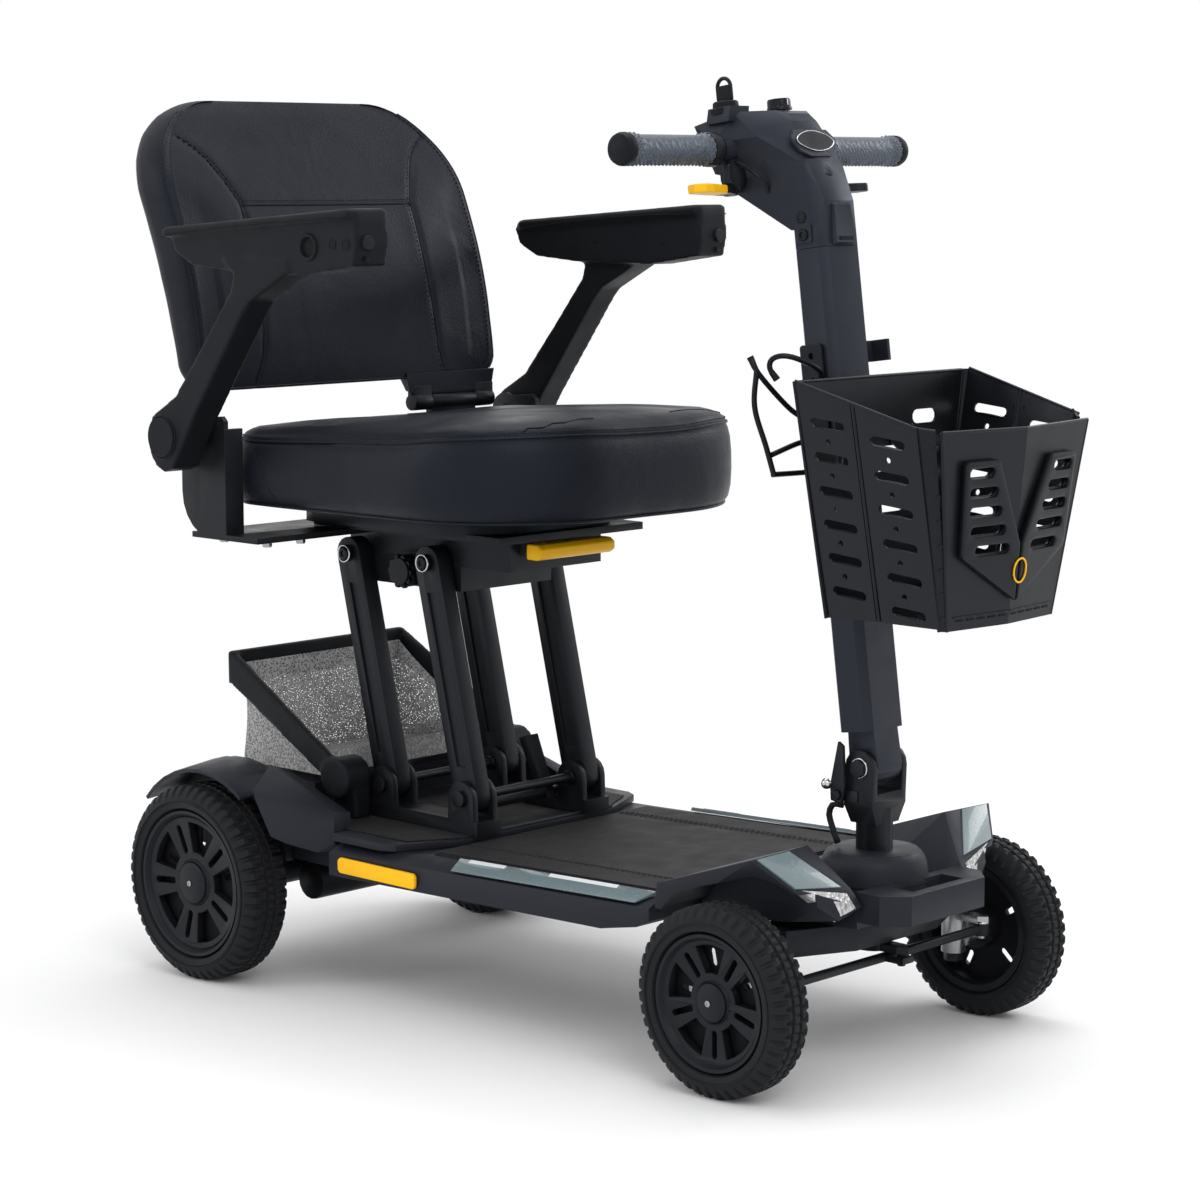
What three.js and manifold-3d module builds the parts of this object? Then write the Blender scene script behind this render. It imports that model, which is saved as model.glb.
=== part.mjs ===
// A folding four-wheel travel scooter: chassis and deck, steered front wheels on a tie rod, a folding
// tiller with a faceted console and a sheet basket, and a padded seat on four parallel bars.
// Millimetres, +X forward, +Y to the rider's left, +Z up. The origin is on the ground in the middle of
// the outer size. Inside the scooter group, x is counted from the front axle.
import * as THREE from 'three';
import { ConvexGeometry } from 'three/addons/geometries/ConvexGeometry.js';
import { mergeVertices } from 'three/addons/utils/BufferGeometryUtils.js';
import Module from 'manifold-3d';

const wasm = await Module();
wasm.setup();

// ---------- driving dimensions ----------
const FRONT_AXLE_X = 309; // front axle ahead of the middle of the outer length
const WHEELBASE = 716;
const TAIL_UP = 1.29; // degrees: the frame stands a little tail up on its larger rear wheels
const GAP = 0.4; // between parts that touch

const FRONT_WHEEL = { r: 89, rim: 64, width: 48, y: 196 };
const REAR_WHEEL = { r: 103.7, rim: 78, width: 58, y: 205.5 };
const REAR_AXLE_Z = 87.6; // in the frame's own axes, before it is tipped tail up

const DECK_HALF = 190;
const DECK_LOW = 120;
const STEP_X = -425; // front edge of the raised rear deck
const REAR_DECK_TOP = 160;

const STEER_X = 17;
const KINGPIN_Y = 148;
const FOLD_Z = 280; // tiller fold pivot
const TILLER_LEAN = 7.65;
const POST_DEPTH = 37;
const POST_WIDTH = 56;

const BAR_Y = 80; // seat bars
const BAR_WIDTH = 20;
const BAR_DEPTH = 34;
const FRONT_BAR_X = -442;
const REAR_BAR_X = -561;
const BAR_LOW_Z = 197;
const BAR_RUN = -57; // how far back the top of a bar stands
const BAR_RISE = 237;

const SEAT_LOW = 487;
const SEAT_TOP = 572; // at the rear edge; the cushion is deeper towards the front
const SEAT_RISE = 24;
const SEAT_HALF = 203;
const SEAT_REAR = -690;
const SEAT_FRONT = -265;

const BACK_X = -703; // front face of the backrest at its lower edge
const BACK_LOW = 606;
const BACK_TOP = 905;
const BACK_HALF = 217.5;
const BACK_CORNER = 105;
const BACK_THICK = 64;
const BACK_CURVE = 0.001265; // how fast the back leans away with the square of the height

const ARM_PIVOT_X = -698;
const ARM_PIVOT_Z = 562;

// ---------- materials ----------
function finish(colour, roughness, metalness = 0) {
  return new THREE.MeshStandardMaterial({ color: colour, roughness, metalness });
}

const charcoal = finish('#3a3b3e', 0.55);
const black = finish('#1e1f21', 0.5);
const softBlack = finish('#232427', 0.7);
const rubber = finish('#191919', 0.85);
const rimBlack = finish('#2a2a2c', 0.5);
const gripGrey = finish('#77818f', 0.7);
const yellow = finish('#f2c40c', 0.45);
const silver = finish('#c4cbd0', 0.3, 0.7);
const clear = finish('#e6e8ea', 0.15);
const steel = finish('#8c8f94', 0.35, 0.9);
const leather = finish('#25282e', 0.5);
const bagMesh = finish('#a9abad', 0.9);

// ---------- shapes ----------
function box(x0, x1, y0, y1, z0, z1) {
  const shape = new THREE.BoxGeometry(x1 - x0, y1 - y0, z1 - z0);
  return shape.translate((x0 + x1) / 2, (y0 + y1) / 2, (z0 + z1) / 2);
}

function outline(points) {
  return new THREE.Shape(points.map(([a, b]) => new THREE.Vector2(a, b)));
}

// an outline of (x, y) points standing between two heights
function standing(points, z0, z1, holes = []) {
  const shape = outline(points);
  shape.holes = holes.map(outline);
  const solid = new THREE.ExtrudeGeometry(shape, { depth: z1 - z0, bevelEnabled: false });
  return solid.translate(0, 0, z0);
}

// an outline of (x, z) points running across from y0 to y1
function across(points, y0, y1, holes = []) {
  const shape = outline(points);
  shape.holes = holes.map(outline);
  const solid = new THREE.ExtrudeGeometry(shape, { depth: y1 - y0, bevelEnabled: false });
  return solid.rotateX(Math.PI / 2).translate(0, y1, 0);
}

function hull(points) {
  return new ConvexGeometry(points.map(([x, y, z]) => new THREE.Vector3(x, y, z)));
}

// a hull of points given for the left side only and mirrored to the right
function hullBothSides(points) {
  return hull(points.flatMap(([x, y, z]) => [[x, y, z], [x, -y, z]]));
}

function rod(from, to, radius, sides = 12) {
  const a = new THREE.Vector3(...from);
  const b = new THREE.Vector3(...to);
  const direction = b.clone().sub(a);
  const solid = new THREE.CylinderGeometry(radius, radius, direction.length(), sides);
  const turn = new THREE.Quaternion().setFromUnitVectors(new THREE.Vector3(0, 1, 0), direction.normalize());
  return solid.applyQuaternion(turn).translate((a.x + b.x) / 2, (a.y + b.y) / 2, (a.z + b.z) / 2);
}

// a round profile of (radius, height) points turned about the vertical
function turned(profile, segments) {
  const points = profile.map(([r, h]) => new THREE.Vector2(r, h));
  return new THREE.LatheGeometry(points, segments).rotateX(Math.PI / 2);
}

// a bar of square-cornered section that follows a path
function tube(points, radius, sides = 8, smooth = true, steps = 0) {
  const path = points.map((p) => new THREE.Vector3(...p));
  const section = new THREE.Shape();
  for (let i = 0; i < sides; i += 1) {
    const angle = ((i + 0.5) / sides) * 2 * Math.PI;
    const x = radius * Math.cos(angle);
    const y = radius * Math.sin(angle);
    if (i === 0) section.moveTo(x, y);
    else section.lineTo(x, y);
  }
  const curve = smooth ? new THREE.CatmullRomCurve3(path) : new THREE.CurvePath();
  if (!smooth) {
    for (let i = 1; i < path.length; i += 1) curve.add(new THREE.LineCurve3(path[i - 1], path[i]));
  }
  const count = steps || points.length * 3;
  return new THREE.ExtrudeGeometry(section, { extrudePath: curve, steps: count, bevelEnabled: false });
}

function arc(cx, cy, radius, from, to, count) {
  return Array.from({ length: count + 1 }, (_, i) => {
    const angle = THREE.MathUtils.degToRad(from + ((to - from) * i) / count);
    return [cx + radius * Math.cos(angle), cy + radius * Math.sin(angle)];
  });
}

// ---------- joining and cutting ----------
function toSolid(geometry) {
  const bare = geometry.index ? geometry.toNonIndexed() : geometry.clone();
  bare.deleteAttribute('normal');
  bare.deleteAttribute('uv');
  const merged = mergeVertices(bare, 0.0001);
  const vertProperties = new Float32Array(merged.attributes.position.array);
  const triVerts = new Uint32Array(merged.index.array);
  return new wasm.Manifold(new wasm.Mesh({ numProp: 3, vertProperties, triVerts }));
}

function fromSolid(solid) {
  const mesh = solid.getMesh();
  const geometry = new THREE.BufferGeometry();
  geometry.setAttribute('position', new THREE.BufferAttribute(mesh.vertProperties, 3));
  geometry.setIndex(new THREE.BufferAttribute(mesh.triVerts, 1));
  geometry.computeVertexNormals();
  return geometry;
}

function build(joined, removed = []) {
  let solid = toSolid(joined[0]);
  for (const piece of joined.slice(1)) solid = solid.add(toSolid(piece));
  for (const piece of removed) solid = solid.subtract(toSolid(piece));
  return fromSolid(solid);
}

function mirrored(geometry) {
  const copy = geometry.index ? geometry.toNonIndexed() : geometry.clone();
  const p = copy.attributes.position;
  const swapped = new Float32Array(p.array.length);
  for (let i = 0; i < p.count; i += 3) {
    [0, 2, 1].forEach((from, to) => {
      swapped[3 * (i + to)] = p.getX(i + from);
      swapped[3 * (i + to) + 1] = -p.getY(i + from);
      swapped[3 * (i + to) + 2] = p.getZ(i + from);
    });
  }
  const flipped = new THREE.BufferGeometry();
  flipped.setAttribute('position', new THREE.BufferAttribute(swapped, 3));
  flipped.computeVertexNormals();
  return flipped;
}

// ---------- the scene graph ----------
const model = new THREE.Group();
const scooter = new THREE.Group();
scooter.position.set(FRONT_AXLE_X, 0, 0);
scooter.rotation.y = THREE.MathUtils.degToRad(TAIL_UP);
model.add(scooter);

function place(name, geometry, material, parent = scooter) {
  const mesh = new THREE.Mesh(geometry, material);
  mesh.name = name;
  parent.add(mesh);
  return mesh;
}

// one piece modelled on the rider's left and its mirror image on the right
function placePair(name, geometry, material, parent = scooter) {
  place(`${name}_left`, geometry, material, parent);
  place(`${name}_right`, mirrored(geometry), material, parent);
}

// ---------- wheels ----------
function rimGeometry({ rim, width }) {
  const inner = rim - 7;
  const half = width / 2 - 5;
  const barrel = turned(
    [[inner, -half], [rim, -half], [rim, half], [inner, half], [inner - 3, half - 8],
    [inner - 3, -half + 4], [inner, -half]],
    24,
  );
  const hubRadius = rim * 0.3;
  const openings = [];
  for (let i = 0; i < 5; i += 1) {
    const middle = i * 72;
    openings.push([
      ...arc(0, 0, rim * 0.8, middle - 20, middle + 20, 2),
      ...arc(0, 0, rim * 0.4, middle + 16, middle - 16, 1),
    ]);
  }
  const disc = standing(arc(0, 0, inner - 1, 0, 345, 23), half - 16, half - 7, openings);
  const hub = turned([[0, -half + 2], [hubRadius * 0.8, -half + 2], [hubRadius, half - 12],
    [hubRadius, half - 3],
    [hubRadius * 0.7, half], [0, half + 1]], 15);
  return build([barrel, disc, hub], [rod([0, 0, -width], [0, 0, half - 18], 8.4, 12)]);
}

function tyreGeometry({ r, rim, width }) {
  const bead = rim + GAP;
  const half = width / 2;
  return turned([
    [bead, -half + 7], [bead + 3, -half + 2], [r - 15, -half], [r - 5, -half + 4], [r, -half + 13],
    [r, half - 13], [r - 5, half - 4], [r - 15, half], [bead + 3, half - 2], [bead, half - 7],
    [bead, -half + 7],
  ], 24);
}

function placeWheel(name, x, z, size, side) {
  const wheel = new THREE.Group();
  wheel.position.set(x, side * size.y, z);
  wheel.rotation.x = side > 0 ? -Math.PI / 2 : Math.PI / 2;
  scooter.add(wheel);
  place(`${name}_rim`, rimGeometry(size), rimBlack, wheel);
  place(`${name}_tyre`, tyreGeometry(size), rubber, wheel);
}

for (const [sideName, side] of [['left', 1], ['right', -1]]) {
  placeWheel(`front_wheel_${sideName}`, 0, FRONT_WHEEL.r, FRONT_WHEEL, side);
  placeWheel(`rear_wheel_${sideName}`, -WHEELBASE, REAR_AXLE_Z, REAR_WHEEL, side);
}

// ---------- deck ----------
const deckFront = -96;
const deckRear = -540;
const frontTop = 163; // the front deck climbs a little towards the bow
const stepTop = 152;

function deckTopAt(x) {
  return stepTop + ((frontTop - stepTop) * (x - STEP_X)) / (deckFront - STEP_X);
}

const skirt = across([[deckRear, DECK_LOW - 2], [-404, DECK_LOW + 1], [-158, DECK_LOW + 7],
  [-112, DECK_LOW + 16],
  [deckFront, DECK_LOW + 24], [deckFront, frontTop], [STEP_X, stepTop], [deckRear, stepTop]], -DECK_HALF,
  DECK_HALF);
function shoulder(side) {
  return hull([-700, 0].flatMap((x) => [
    [x, side * 166, deckTopAt(x) + 3.3], [x, side * 200, deckTopAt(x) - 11], [x, side * 200, 260],
    [x, side * 166, 260],
  ]));
}
const matFront = deckFront - 12;
const matRear = STEP_X + 6;
const mat = across([[matRear, deckTopAt(matRear) - 1], [matFront, deckTopAt(matFront) - 1],
  [matFront, deckTopAt(matFront) + 2], [matRear, deckTopAt(matRear) + 2]], -156, 156);
place('deck_frame', build([skirt, mat], [shoulder(1), shoulder(-1)]), charcoal);

function sideStrip() {
  const face = [];
  for (const [x, tuck] of [[-366, 7], [-104, -10]]) {
    const z = deckTopAt(x);
    face.push([x, 169, z + 2], [x, 171, z + 5.5], [x + tuck, 189, z - 4.5], [x + tuck, 191.5, z - 3]);
  }
  return hull(face);
}
placePair('side_reflector', sideStrip(), silver);

const tabZ = 132;
const tab = across([[-519, tabZ - 8], [-411, tabZ - 8], [-408, tabZ - 5], [-408, tabZ + 5], [-411, tabZ + 8],
  [-519, tabZ + 8], [-522, tabZ + 5], [-522, tabZ - 5]], DECK_HALF + GAP, DECK_HALF + 5);
placePair('side_grip', tab, yellow);

// raised rear deck with the drive and battery housing behind it
const rearDeckOutline = [[STEP_X, -112], [STEP_X, 112], [-455, 176], [-470, 184], [-541, 184], [-544, 149.5],
  [-792, 142], [-806, 128], [-806, -128], [-792, -142], [-544, -149.5], [-541, -184], [-470, -184],
  [-455, -176]];
const axleX = -WHEELBASE;
const axleTunnel = rod([axleX, -200, REAR_AXLE_Z], [axleX, 200, REAR_AXLE_Z], 24, 16);
const rearDeck = standing(rearDeckOutline, stepTop + GAP, REAR_DECK_TOP);
const housing = standing([[-545, -149], [-545, 149], [-790, 140], [-790, -140]], 112, 158);
const tailHousing = hullBothSides([[-640, 120, 158], [-640, 120, 190], [-800, 110, 158], [-792, 110, 190]]);
place('rear_deck', build([rearDeck, housing, tailHousing], [axleTunnel]), charcoal);

// drive axle: motor and gearbox across the chassis under the housing
const motorX = axleX + 58;
const motorZ = 80;
place('drive_axle', build([
  rod([axleX, -(REAR_WHEEL.y + 4), REAR_AXLE_Z], [axleX, REAR_WHEEL.y + 4, REAR_AXLE_Z], 8, 12),
  rod([axleX, -150, REAR_AXLE_Z], [axleX, 150, REAR_AXLE_Z], 21, 14),
  rod([motorX, -112, motorZ], [motorX, 40, motorZ], 20, 16),
  box(axleX, motorX, -30, 10, motorZ - 16, motorZ + 16),
  box(axleX - 20, axleX + 20, -150, -120, REAR_AXLE_Z, 111.6),
  box(axleX - 20, axleX + 20, 120, 150, REAR_AXLE_Z, 111.6),
]), black);

// rear mudguards: a crown round the tyre, a wall inside the wheel and a faceted foot in front of it
function rearFender() {
  const x = -WHEELBASE;
  const z = REAR_AXLE_Z;
  const sheet = 4;
  const [inner, outer] = [160, 215];
  const [crownRadius, rimRadius] = [126, 120];
  const profile = [[crownRadius - sheet, inner], [crownRadius, inner], [rimRadius, outer],
    [rimRadius - sheet, outer],
    [crownRadius - sheet, inner]].map(([radius, y]) => new THREE.Vector2(radius, y));
  const crown = new THREE.LatheGeometry(profile, 36).translate(x, 0, z);
  const [front, rear] = [56, 139].map(THREE.MathUtils.degToRad);
  const belowCrown = across([[x, z], [x + 300 * Math.cos(rear), z + 300 * Math.sin(rear)],
    [x - 500, z - 300], [x + 500, z - 300],
    [x + 300 * Math.cos(front), z + 300 * Math.sin(front)]].reverse(), 100, 300);
  const wall = across([...arc(x, z, crownRadius - 1, 56, 139, 8), [-806, 112], [-640, 112]], inner - 8,
    inner + 1);
  const foot = hull([
    [-667, 152, 209], [-640, 152, 206], [-602, 160, 190], [-555, 170, 178], [-547, 176, 147],
    [-564, 185, 137], [-595, 200, 144],
    [-611, 207, 150], [-652, 197, 190], [-665, 160, 212], [-667, 152, 137], [-549, 152, 137],
    [-549, 152, 176],
  ]);
  const tyreRoom = rod([x, 168, z], [x, 300, z], 111, 36);
  const trimmed = build([crown], [belowCrown]);
  const axleRoom = rod([x, 100, z], [x, 300, z], 24, 12);
  return build([trimmed, wall, foot], [tyreRoom, axleRoom]);
}
placePair('rear_fender', rearFender(), charcoal);

// ---------- front body ----------
// points moved away from their middle, to cut a seat for a lens or plate with a little room
function grown(points, by) {
  const middle = [0, 1, 2].map((k) => points.reduce((sum, p) => sum + p[k], 0) / points.length);
  return points.map((p) => {
    const away = p.map((v, k) => v - middle[k]);
    const length = Math.hypot(...away);
    return p.map((v, k) => v + (away[k] / length) * by);
  });
}

// a four-cornered plate: its corners on the outside face, and how deep it reaches along (dx, dy, dz)
function plate(corners, [dx, dy, dz]) {
  return corners.flatMap(([x, y, z]) => [[x, y, z], [x + dx, y + dy, z + dz]]);
}

const reflectorPoints = plate([[20, 172, 217.6], [22, 130, 219], [53, 92, 184], [45, 147, 190.5]],
  [-3.2, 0.2, -2.6]);
const lightPoints = plate([[45, 141, 188], [58, 91, 179], [65, 86, 165], [60, 106, 158.5]], [-8, -4, -6]);

function horn() {
  const body = hull([
    [-90, 190, 142], [-86, 190, 182], [18, 178, 217], [21, 103, 220], [-84, 112, 184], [-90, 108, 142],
    [44, 151, 188.5], [54, 82, 182], [66, 78, 166], [61, 106, 156], [10, 60, 148], [-20, 60, 166],
    [54, 66, 160],
  ]);
  const arch = across([[-82, 90], [-80, 160], [-66, 176], [-33, 187], [14, 201], [30, 196], [44, 184],
    [120, 184],
    [120, 90]], 127, 260);
  const outerFoot = box(-100, -70, 186, 260, 90, 141);
  const steerRoom = box(-95, -76, 120, 260, 90, 158); // the tyre's rear edge swings in here
  return [body, [arch, outerFoot, steerRoom, hull(grown(reflectorPoints, 0.8)),
    hull(grown(lightPoints, 0.8))]];
}

const [hornBody, hornCuts] = horn();
const noseTop = 166;
const nose = standing([[-95.4, -118], [-95.4, 118], [-60, 118], [20, 84], [60, 78], [60, -78], [20, -84],
  [-60, -118]],
  143, noseTop);
const stemRoom = 18.1; // radius of the bore round the steering stem
const boss = turned([[stemRoom, noseTop - 6], [52, noseTop - 6], [49.5, 186], [47, 195], [42, 200.5],
  [stemRoom, 200.5],
  [stemRoom, noseTop - 6]], 24).translate(STEER_X, 0, 0);
const tailOfBoss = hullBothSides([[-80, 46, noseTop - 4], [-70, 40, 174], [STEER_X - 30, 44, 178],
  [STEER_X, 50, noseTop - 4]]);
const stemBore = rod([STEER_X, 0, 100], [STEER_X, 0, 260], stemRoom, 24);
const hornLeft = build([hornBody], hornCuts);
const bumperOutline = [[56, -76], [84, -76], [105, -55], [105, 55], [84, 76], [56, 76]];
const bumperSlot = [[67, -38], [67, 38], [93, 38], [93, -38]];
const bumper = standing(bumperOutline, 149, 177, [bumperSlot]);
place('front_shroud', build([nose, hornLeft, mirrored(hornLeft), tailOfBoss, boss, bumper], [stemBore]),
  charcoal);
placePair('fender_reflector', hull(reflectorPoints), silver);
placePair('headlight', hull(lightPoints), clear);

// ---------- steering ----------
const ARM = 34; // steering arms, all three parallel so that the tie rod moves like a parallelogram
const ARM_Z = 99;
const beamTop = 142.6;
const beamLow = 117;
const beamOutline = [[-26, -84], [-26, 84], [-15, 130], [-15, KINGPIN_Y + 8], [15, KINGPIN_Y + 8],
  [15, 130], [46, 60],
  [46, -60], [15, -130], [15, -KINGPIN_Y - 8], [-15, -KINGPIN_Y - 8], [-15, -130]];
const kingpins = [1, -1].flatMap((side) => [
  rod([0, side * KINGPIN_Y, 68], [0, side * KINGPIN_Y, beamLow + 4], 6, 12),
  rod([0, side * KINGPIN_Y, 62], [0, side * KINGPIN_Y, 70], 9.5, 6),
]);
const beam = standing(beamOutline, beamLow, beamTop);
const beamTips = [1, -1].map((side) => box(-50, 50, side > 0 ? 127 : -170, side > 0 ? 170 : -127, 135, 200));
place('front_axle_beam', build([beam, ...kingpins], [stemBore, ...beamTips]), black);

function knuckle() {
  const barrel = rod([0, KINGPIN_Y, 71], [0, KINGPIN_Y, beamLow - GAP], 12, 16);
  const stub = rod([0, KINGPIN_Y, FRONT_WHEEL.r], [0, FRONT_WHEEL.y + 0.6, FRONT_WHEEL.r], 8, 12);
  const flange = rod([0, KINGPIN_Y + 8, FRONT_WHEEL.r], [0, FRONT_WHEEL.y - 25, FRONT_WHEEL.r], 15, 16);
  const arm = standing([[0, KINGPIN_Y - 9], [ARM, KINGPIN_Y - 7], [ARM + 8, KINGPIN_Y], [ARM, KINGPIN_Y + 7],
    [0, KINGPIN_Y + 9]], ARM_Z + 6, ARM_Z + 13);
  const ballPin = rod([ARM, KINGPIN_Y, ARM_Z - 9], [ARM, KINGPIN_Y, ARM_Z + 8], 4, 10);
  const bore = rod([0, KINGPIN_Y, 60], [0, KINGPIN_Y, beamLow + 5], 6.4, 12);
  return build([barrel, stub, flange, arm, ballPin], [bore]);
}
placePair('steering_knuckle', knuckle(), steel);

const rodEnds = [1, -1].map((side) => rod([ARM, side * KINGPIN_Y, ARM_Z - 6],
  [ARM, side * KINGPIN_Y, ARM_Z + 5.6], 8, 16));
const rodTab = box(ARM - 4, ARM + STEER_X + 8, -8, 8, ARM_Z - 3, ARM_Z + 3);
const rodHoles = [-KINGPIN_Y, KINGPIN_Y].map((y) => rod([ARM, y, 80], [ARM, y, 120], 4.5, 10));
const tabHole = rod([ARM + STEER_X, 0, 80], [ARM + STEER_X, 0, 120], 4.5, 10);
const tieBar = rod([ARM, -KINGPIN_Y, ARM_Z], [ARM, KINGPIN_Y, ARM_Z], 4.6, 12);
place('tie_rod', build([tieBar, ...rodEnds, rodTab], [...rodHoles, tabHole]), black);

const LATCH_X = -2;
const LATCH_Z = 253;

// steering stem: a tube through the boss that ends in the two cheeks of the fold joint
function cheekOutline(radius, foot) {
  return [[STEER_X - radius, foot], ...arc(STEER_X + 1, FOLD_Z, radius, 180, 0, 8), [STEER_X + radius, foot]];
}
const stem = build([
  rod([STEER_X, 0, 105], [STEER_X, 0, 240], 17.5, 16),
  hull([[15, 17, 226], [17, 25, 244], [17, 25, 256]].flatMap(([x, y, z]) => [[-x, -y], [-x, y], [x, -y],
  [x, y]].map(
    ([dx, dy]) => [STEER_X + dx, dy, z],
  ))),
  across(cheekOutline(17, 250), 18.6, 25),
  across(cheekOutline(17, 250), -25, -18.6),
  standing([[STEER_X - 6, -9], [STEER_X + ARM, -8], [STEER_X + ARM + 8, 0], [STEER_X + ARM, 8],
  [STEER_X - 6, 9]], 105, 112),
  rod([STEER_X + ARM, 0, ARM_Z - 6], [STEER_X + ARM, 0, 108], 4, 10),
  rod([STEER_X + 1, -25, FOLD_Z], [STEER_X + 1, 25, FOLD_Z], 6, 12),
  rod([STEER_X + 1, -29, FOLD_Z], [STEER_X + 1, -24, FOLD_Z], 9, 6),
  rod([STEER_X + 1, 24, FOLD_Z], [STEER_X + 1, 29, FOLD_Z], 9, 6),
  rod([LATCH_X, -35, LATCH_Z], [LATCH_X, -20, LATCH_Z], 4, 10),
  box(LATCH_X - 5, STEER_X, -26.4, -18, LATCH_Z - 6, LATCH_Z + 5),
]);
place('steering_stem', stem, black);

// ---------- tiller ----------
// inside its group u runs forward, v left and w up the column from the fold pivot
const tiller = new THREE.Group();
tiller.position.set(STEER_X + 1, 0, FOLD_Z);
tiller.rotation.y = -THREE.MathUtils.degToRad(TILLER_LEAN);
scooter.add(tiller);

const POST_TOP = 484;
const halfU = POST_DEPTH / 2;
const halfV = POST_WIDTH / 2;
const CHAMFER = 7;

function postSection(grow = 0) {
  const u = halfU + grow;
  const v = halfV + grow;
  return [[-u, -v + 4], [-u + 4, -v], [u - CHAMFER, -v], [u, -v + CHAMFER], [u, v - CHAMFER],
    [u - CHAMFER, v],
    [-u + 4, v], [-u, v - 4]];
}
const post = standing(postSection(), 34, POST_TOP);
const foot = across([[-15, 40], ...arc(0, 0, 17, 180, 360, 8), [15, 40]], -18, 18);
const flagBracket = build([box(-5, -1, halfV - 2, 56, 376, 396), box(-5, 18, 52, 56, 376, 396)]);
const basketHook = build([box(halfU - 1, 40, -34, 34, 296, 312), box(30, 40, -34, 34, 306, 330)]);
const footBore = rod([0, -30, 0], [0, 30, 0], 6.5, 12);
place('tiller_post', build([post, foot, flagBracket, basketHook], [footBore]), charcoal, tiller);

const BAR_U = -65;
const BAR_W = 584;
const handlebar = rod([BAR_U, -192, BAR_W], [BAR_U, 192, BAR_W], 10.5, 14);
// each paddle turns on an upright pin in a pod under the console
const PADDLE_U = -66;
const PADDLE_V = 52.5;
const PADDLE_W = 546;

const consoleTop = hullBothSides([
  [-103, 54, 611], [-99, 51, 600], [-62, 46, 619], [-30, 24, 616], [-20, 14, 612], [-14, 18, 604],
  [-8, 24, 588],
  [-14, 34, 572], [-34, 46, 592], [-74, 58, 592], [-86, 50, 564], [5, 25, 560], [13, 0, 550], [-60, 44, 556],
]);
const consoleNeck = hullBothSides([
  [-86, 46, 566], [-76, 44, 549], [-55, 37, 533], [-33, 32, 519], [-halfU, halfV, 503],
  [halfU - CHAMFER, halfV, 503],
  [4, halfV, 560], [5, 25, 566], [13, 0, 547], [halfU, 21, 526], [halfU, 21, 503], [-34, 40, 572],
]);
const collar = standing(postSection(), POST_TOP + GAP, 504);
const keyBlock = hull([-86, -58].flatMap((u) => [-56, -28].flatMap((v) => [[u, v, 610],
  [u * 0.97, v * 0.97, 624]])));
const paddlePod = rod([PADDLE_U, PADDLE_V, PADDLE_W + 6 + GAP], [PADDLE_U, PADDLE_V, 570], 8, 10);
const dialU = -46;
const clip = hull([[halfU - 1, -15, POST_TOP + GAP], [halfU - 1, 15, POST_TOP + GAP],
  [halfU + 5, -14, POST_TOP + 3],
  [halfU + 5, 14, POST_TOP + 3], [halfU - 1, -12, 524], [halfU - 1, 12, 524], [halfU + 3.4, -11.5, 522],
  [halfU + 3.4, 11.5, 522]]);
place('tiller_console', build([consoleTop, consoleNeck, collar, keyBlock, handlebar, clip, paddlePod,
  mirrored(paddlePod)]), charcoal, tiller);

const grip = new THREE.LatheGeometry(
  [[10.9, 84], [14, 84], [14.6, 90], [13.8, 130], [14, 179], [15, 185], [14.6, 198], [10.5, 202], [0, 203],
  [0, 192.4],
    [10.9, 192.4], [10.9, 84]].map(([r, h]) => new THREE.Vector2(r, h)), 14,
).translate(BAR_U, 0, 0);
grip.translate(0, 0, BAR_W);
placePair('grip', grip, gripGrey, tiller);

// a paddle: a blade that reaches out under the grip for the fingers
const BLADE_LOW = PADDLE_W - 4;
const BLADE_HIGH = PADDLE_W + 4;
function paddle() {
  const blade = standing([[-73, 49], [-61, 49], [-53, 70], [-42, 104], [-40, 117], [-46, 126], [-57, 123],
    [-63, 108],
    [-69, 80], [-74, 62]], BLADE_LOW, BLADE_HIGH);
  return build([blade, rod([PADDLE_U, PADDLE_V, BLADE_LOW - 1], [PADDLE_U, PADDLE_V, PADDLE_W + 6], 7, 10)]);
}
place('drive_paddle', mirrored(paddle()), yellow, tiller);
place('reverse_paddle', paddle(), black, tiller);

const KEY_U = -72;
const KEY_V = -42;
place('ignition_key', build([
  rod([KEY_U, KEY_V, 624 + GAP], [KEY_U, KEY_V, 632], 11, 16),
  hull([-1, 1].flatMap((side) => [[-10, 629], [10, 629], [-7, 644], [7, 644]].map(([u, w]) => [KEY_U + u,
  KEY_V + side * 2.5, w]))),
]), black, tiller);
place('speed_dial', rod([dialU, 4, 618.9 + GAP], [dialU, 4, 626], 11, 16), black, tiller);

// bottle cage on the right of the post
function bottleCage() {
  const bar = 2.8;
  const spine = box(-20, 4, -halfV - 5, -halfV - GAP, 272, 406);
  const hook = tube([[2, -31, 360], [11, -42, 371], [6, -62, 382], [-3, -74, 387], [-12, -80, 385],
    [-15, -81, 377],
    [-12, -76, 366]], bar, 5, true, 9);
  const arm = tube([[-14, -31, 326], [-21, -50, 338], [-18, -92, 371], [-23, -98, 389]], bar, 5, true, 6);
  const rail = tube([[-18, -96, 377], [-23, -98, 343], [-19, -92, 306], [-16, -88, 278]], bar, 5, true, 5);
  const shelf = tube([[-16, -90, 280], [-16, -50, 279], [-14, -31, 279]], bar, 5, true, 2);
  const brace = tube([[-16, -89, 298], [-17, -50, 306], [-15, -31, 308]], bar, 5, true, 2);
  return build([spine, hook, arm, rail, shelf, brace]);
}
place('bottle_cage', bottleCage(), black, tiller);

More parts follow.
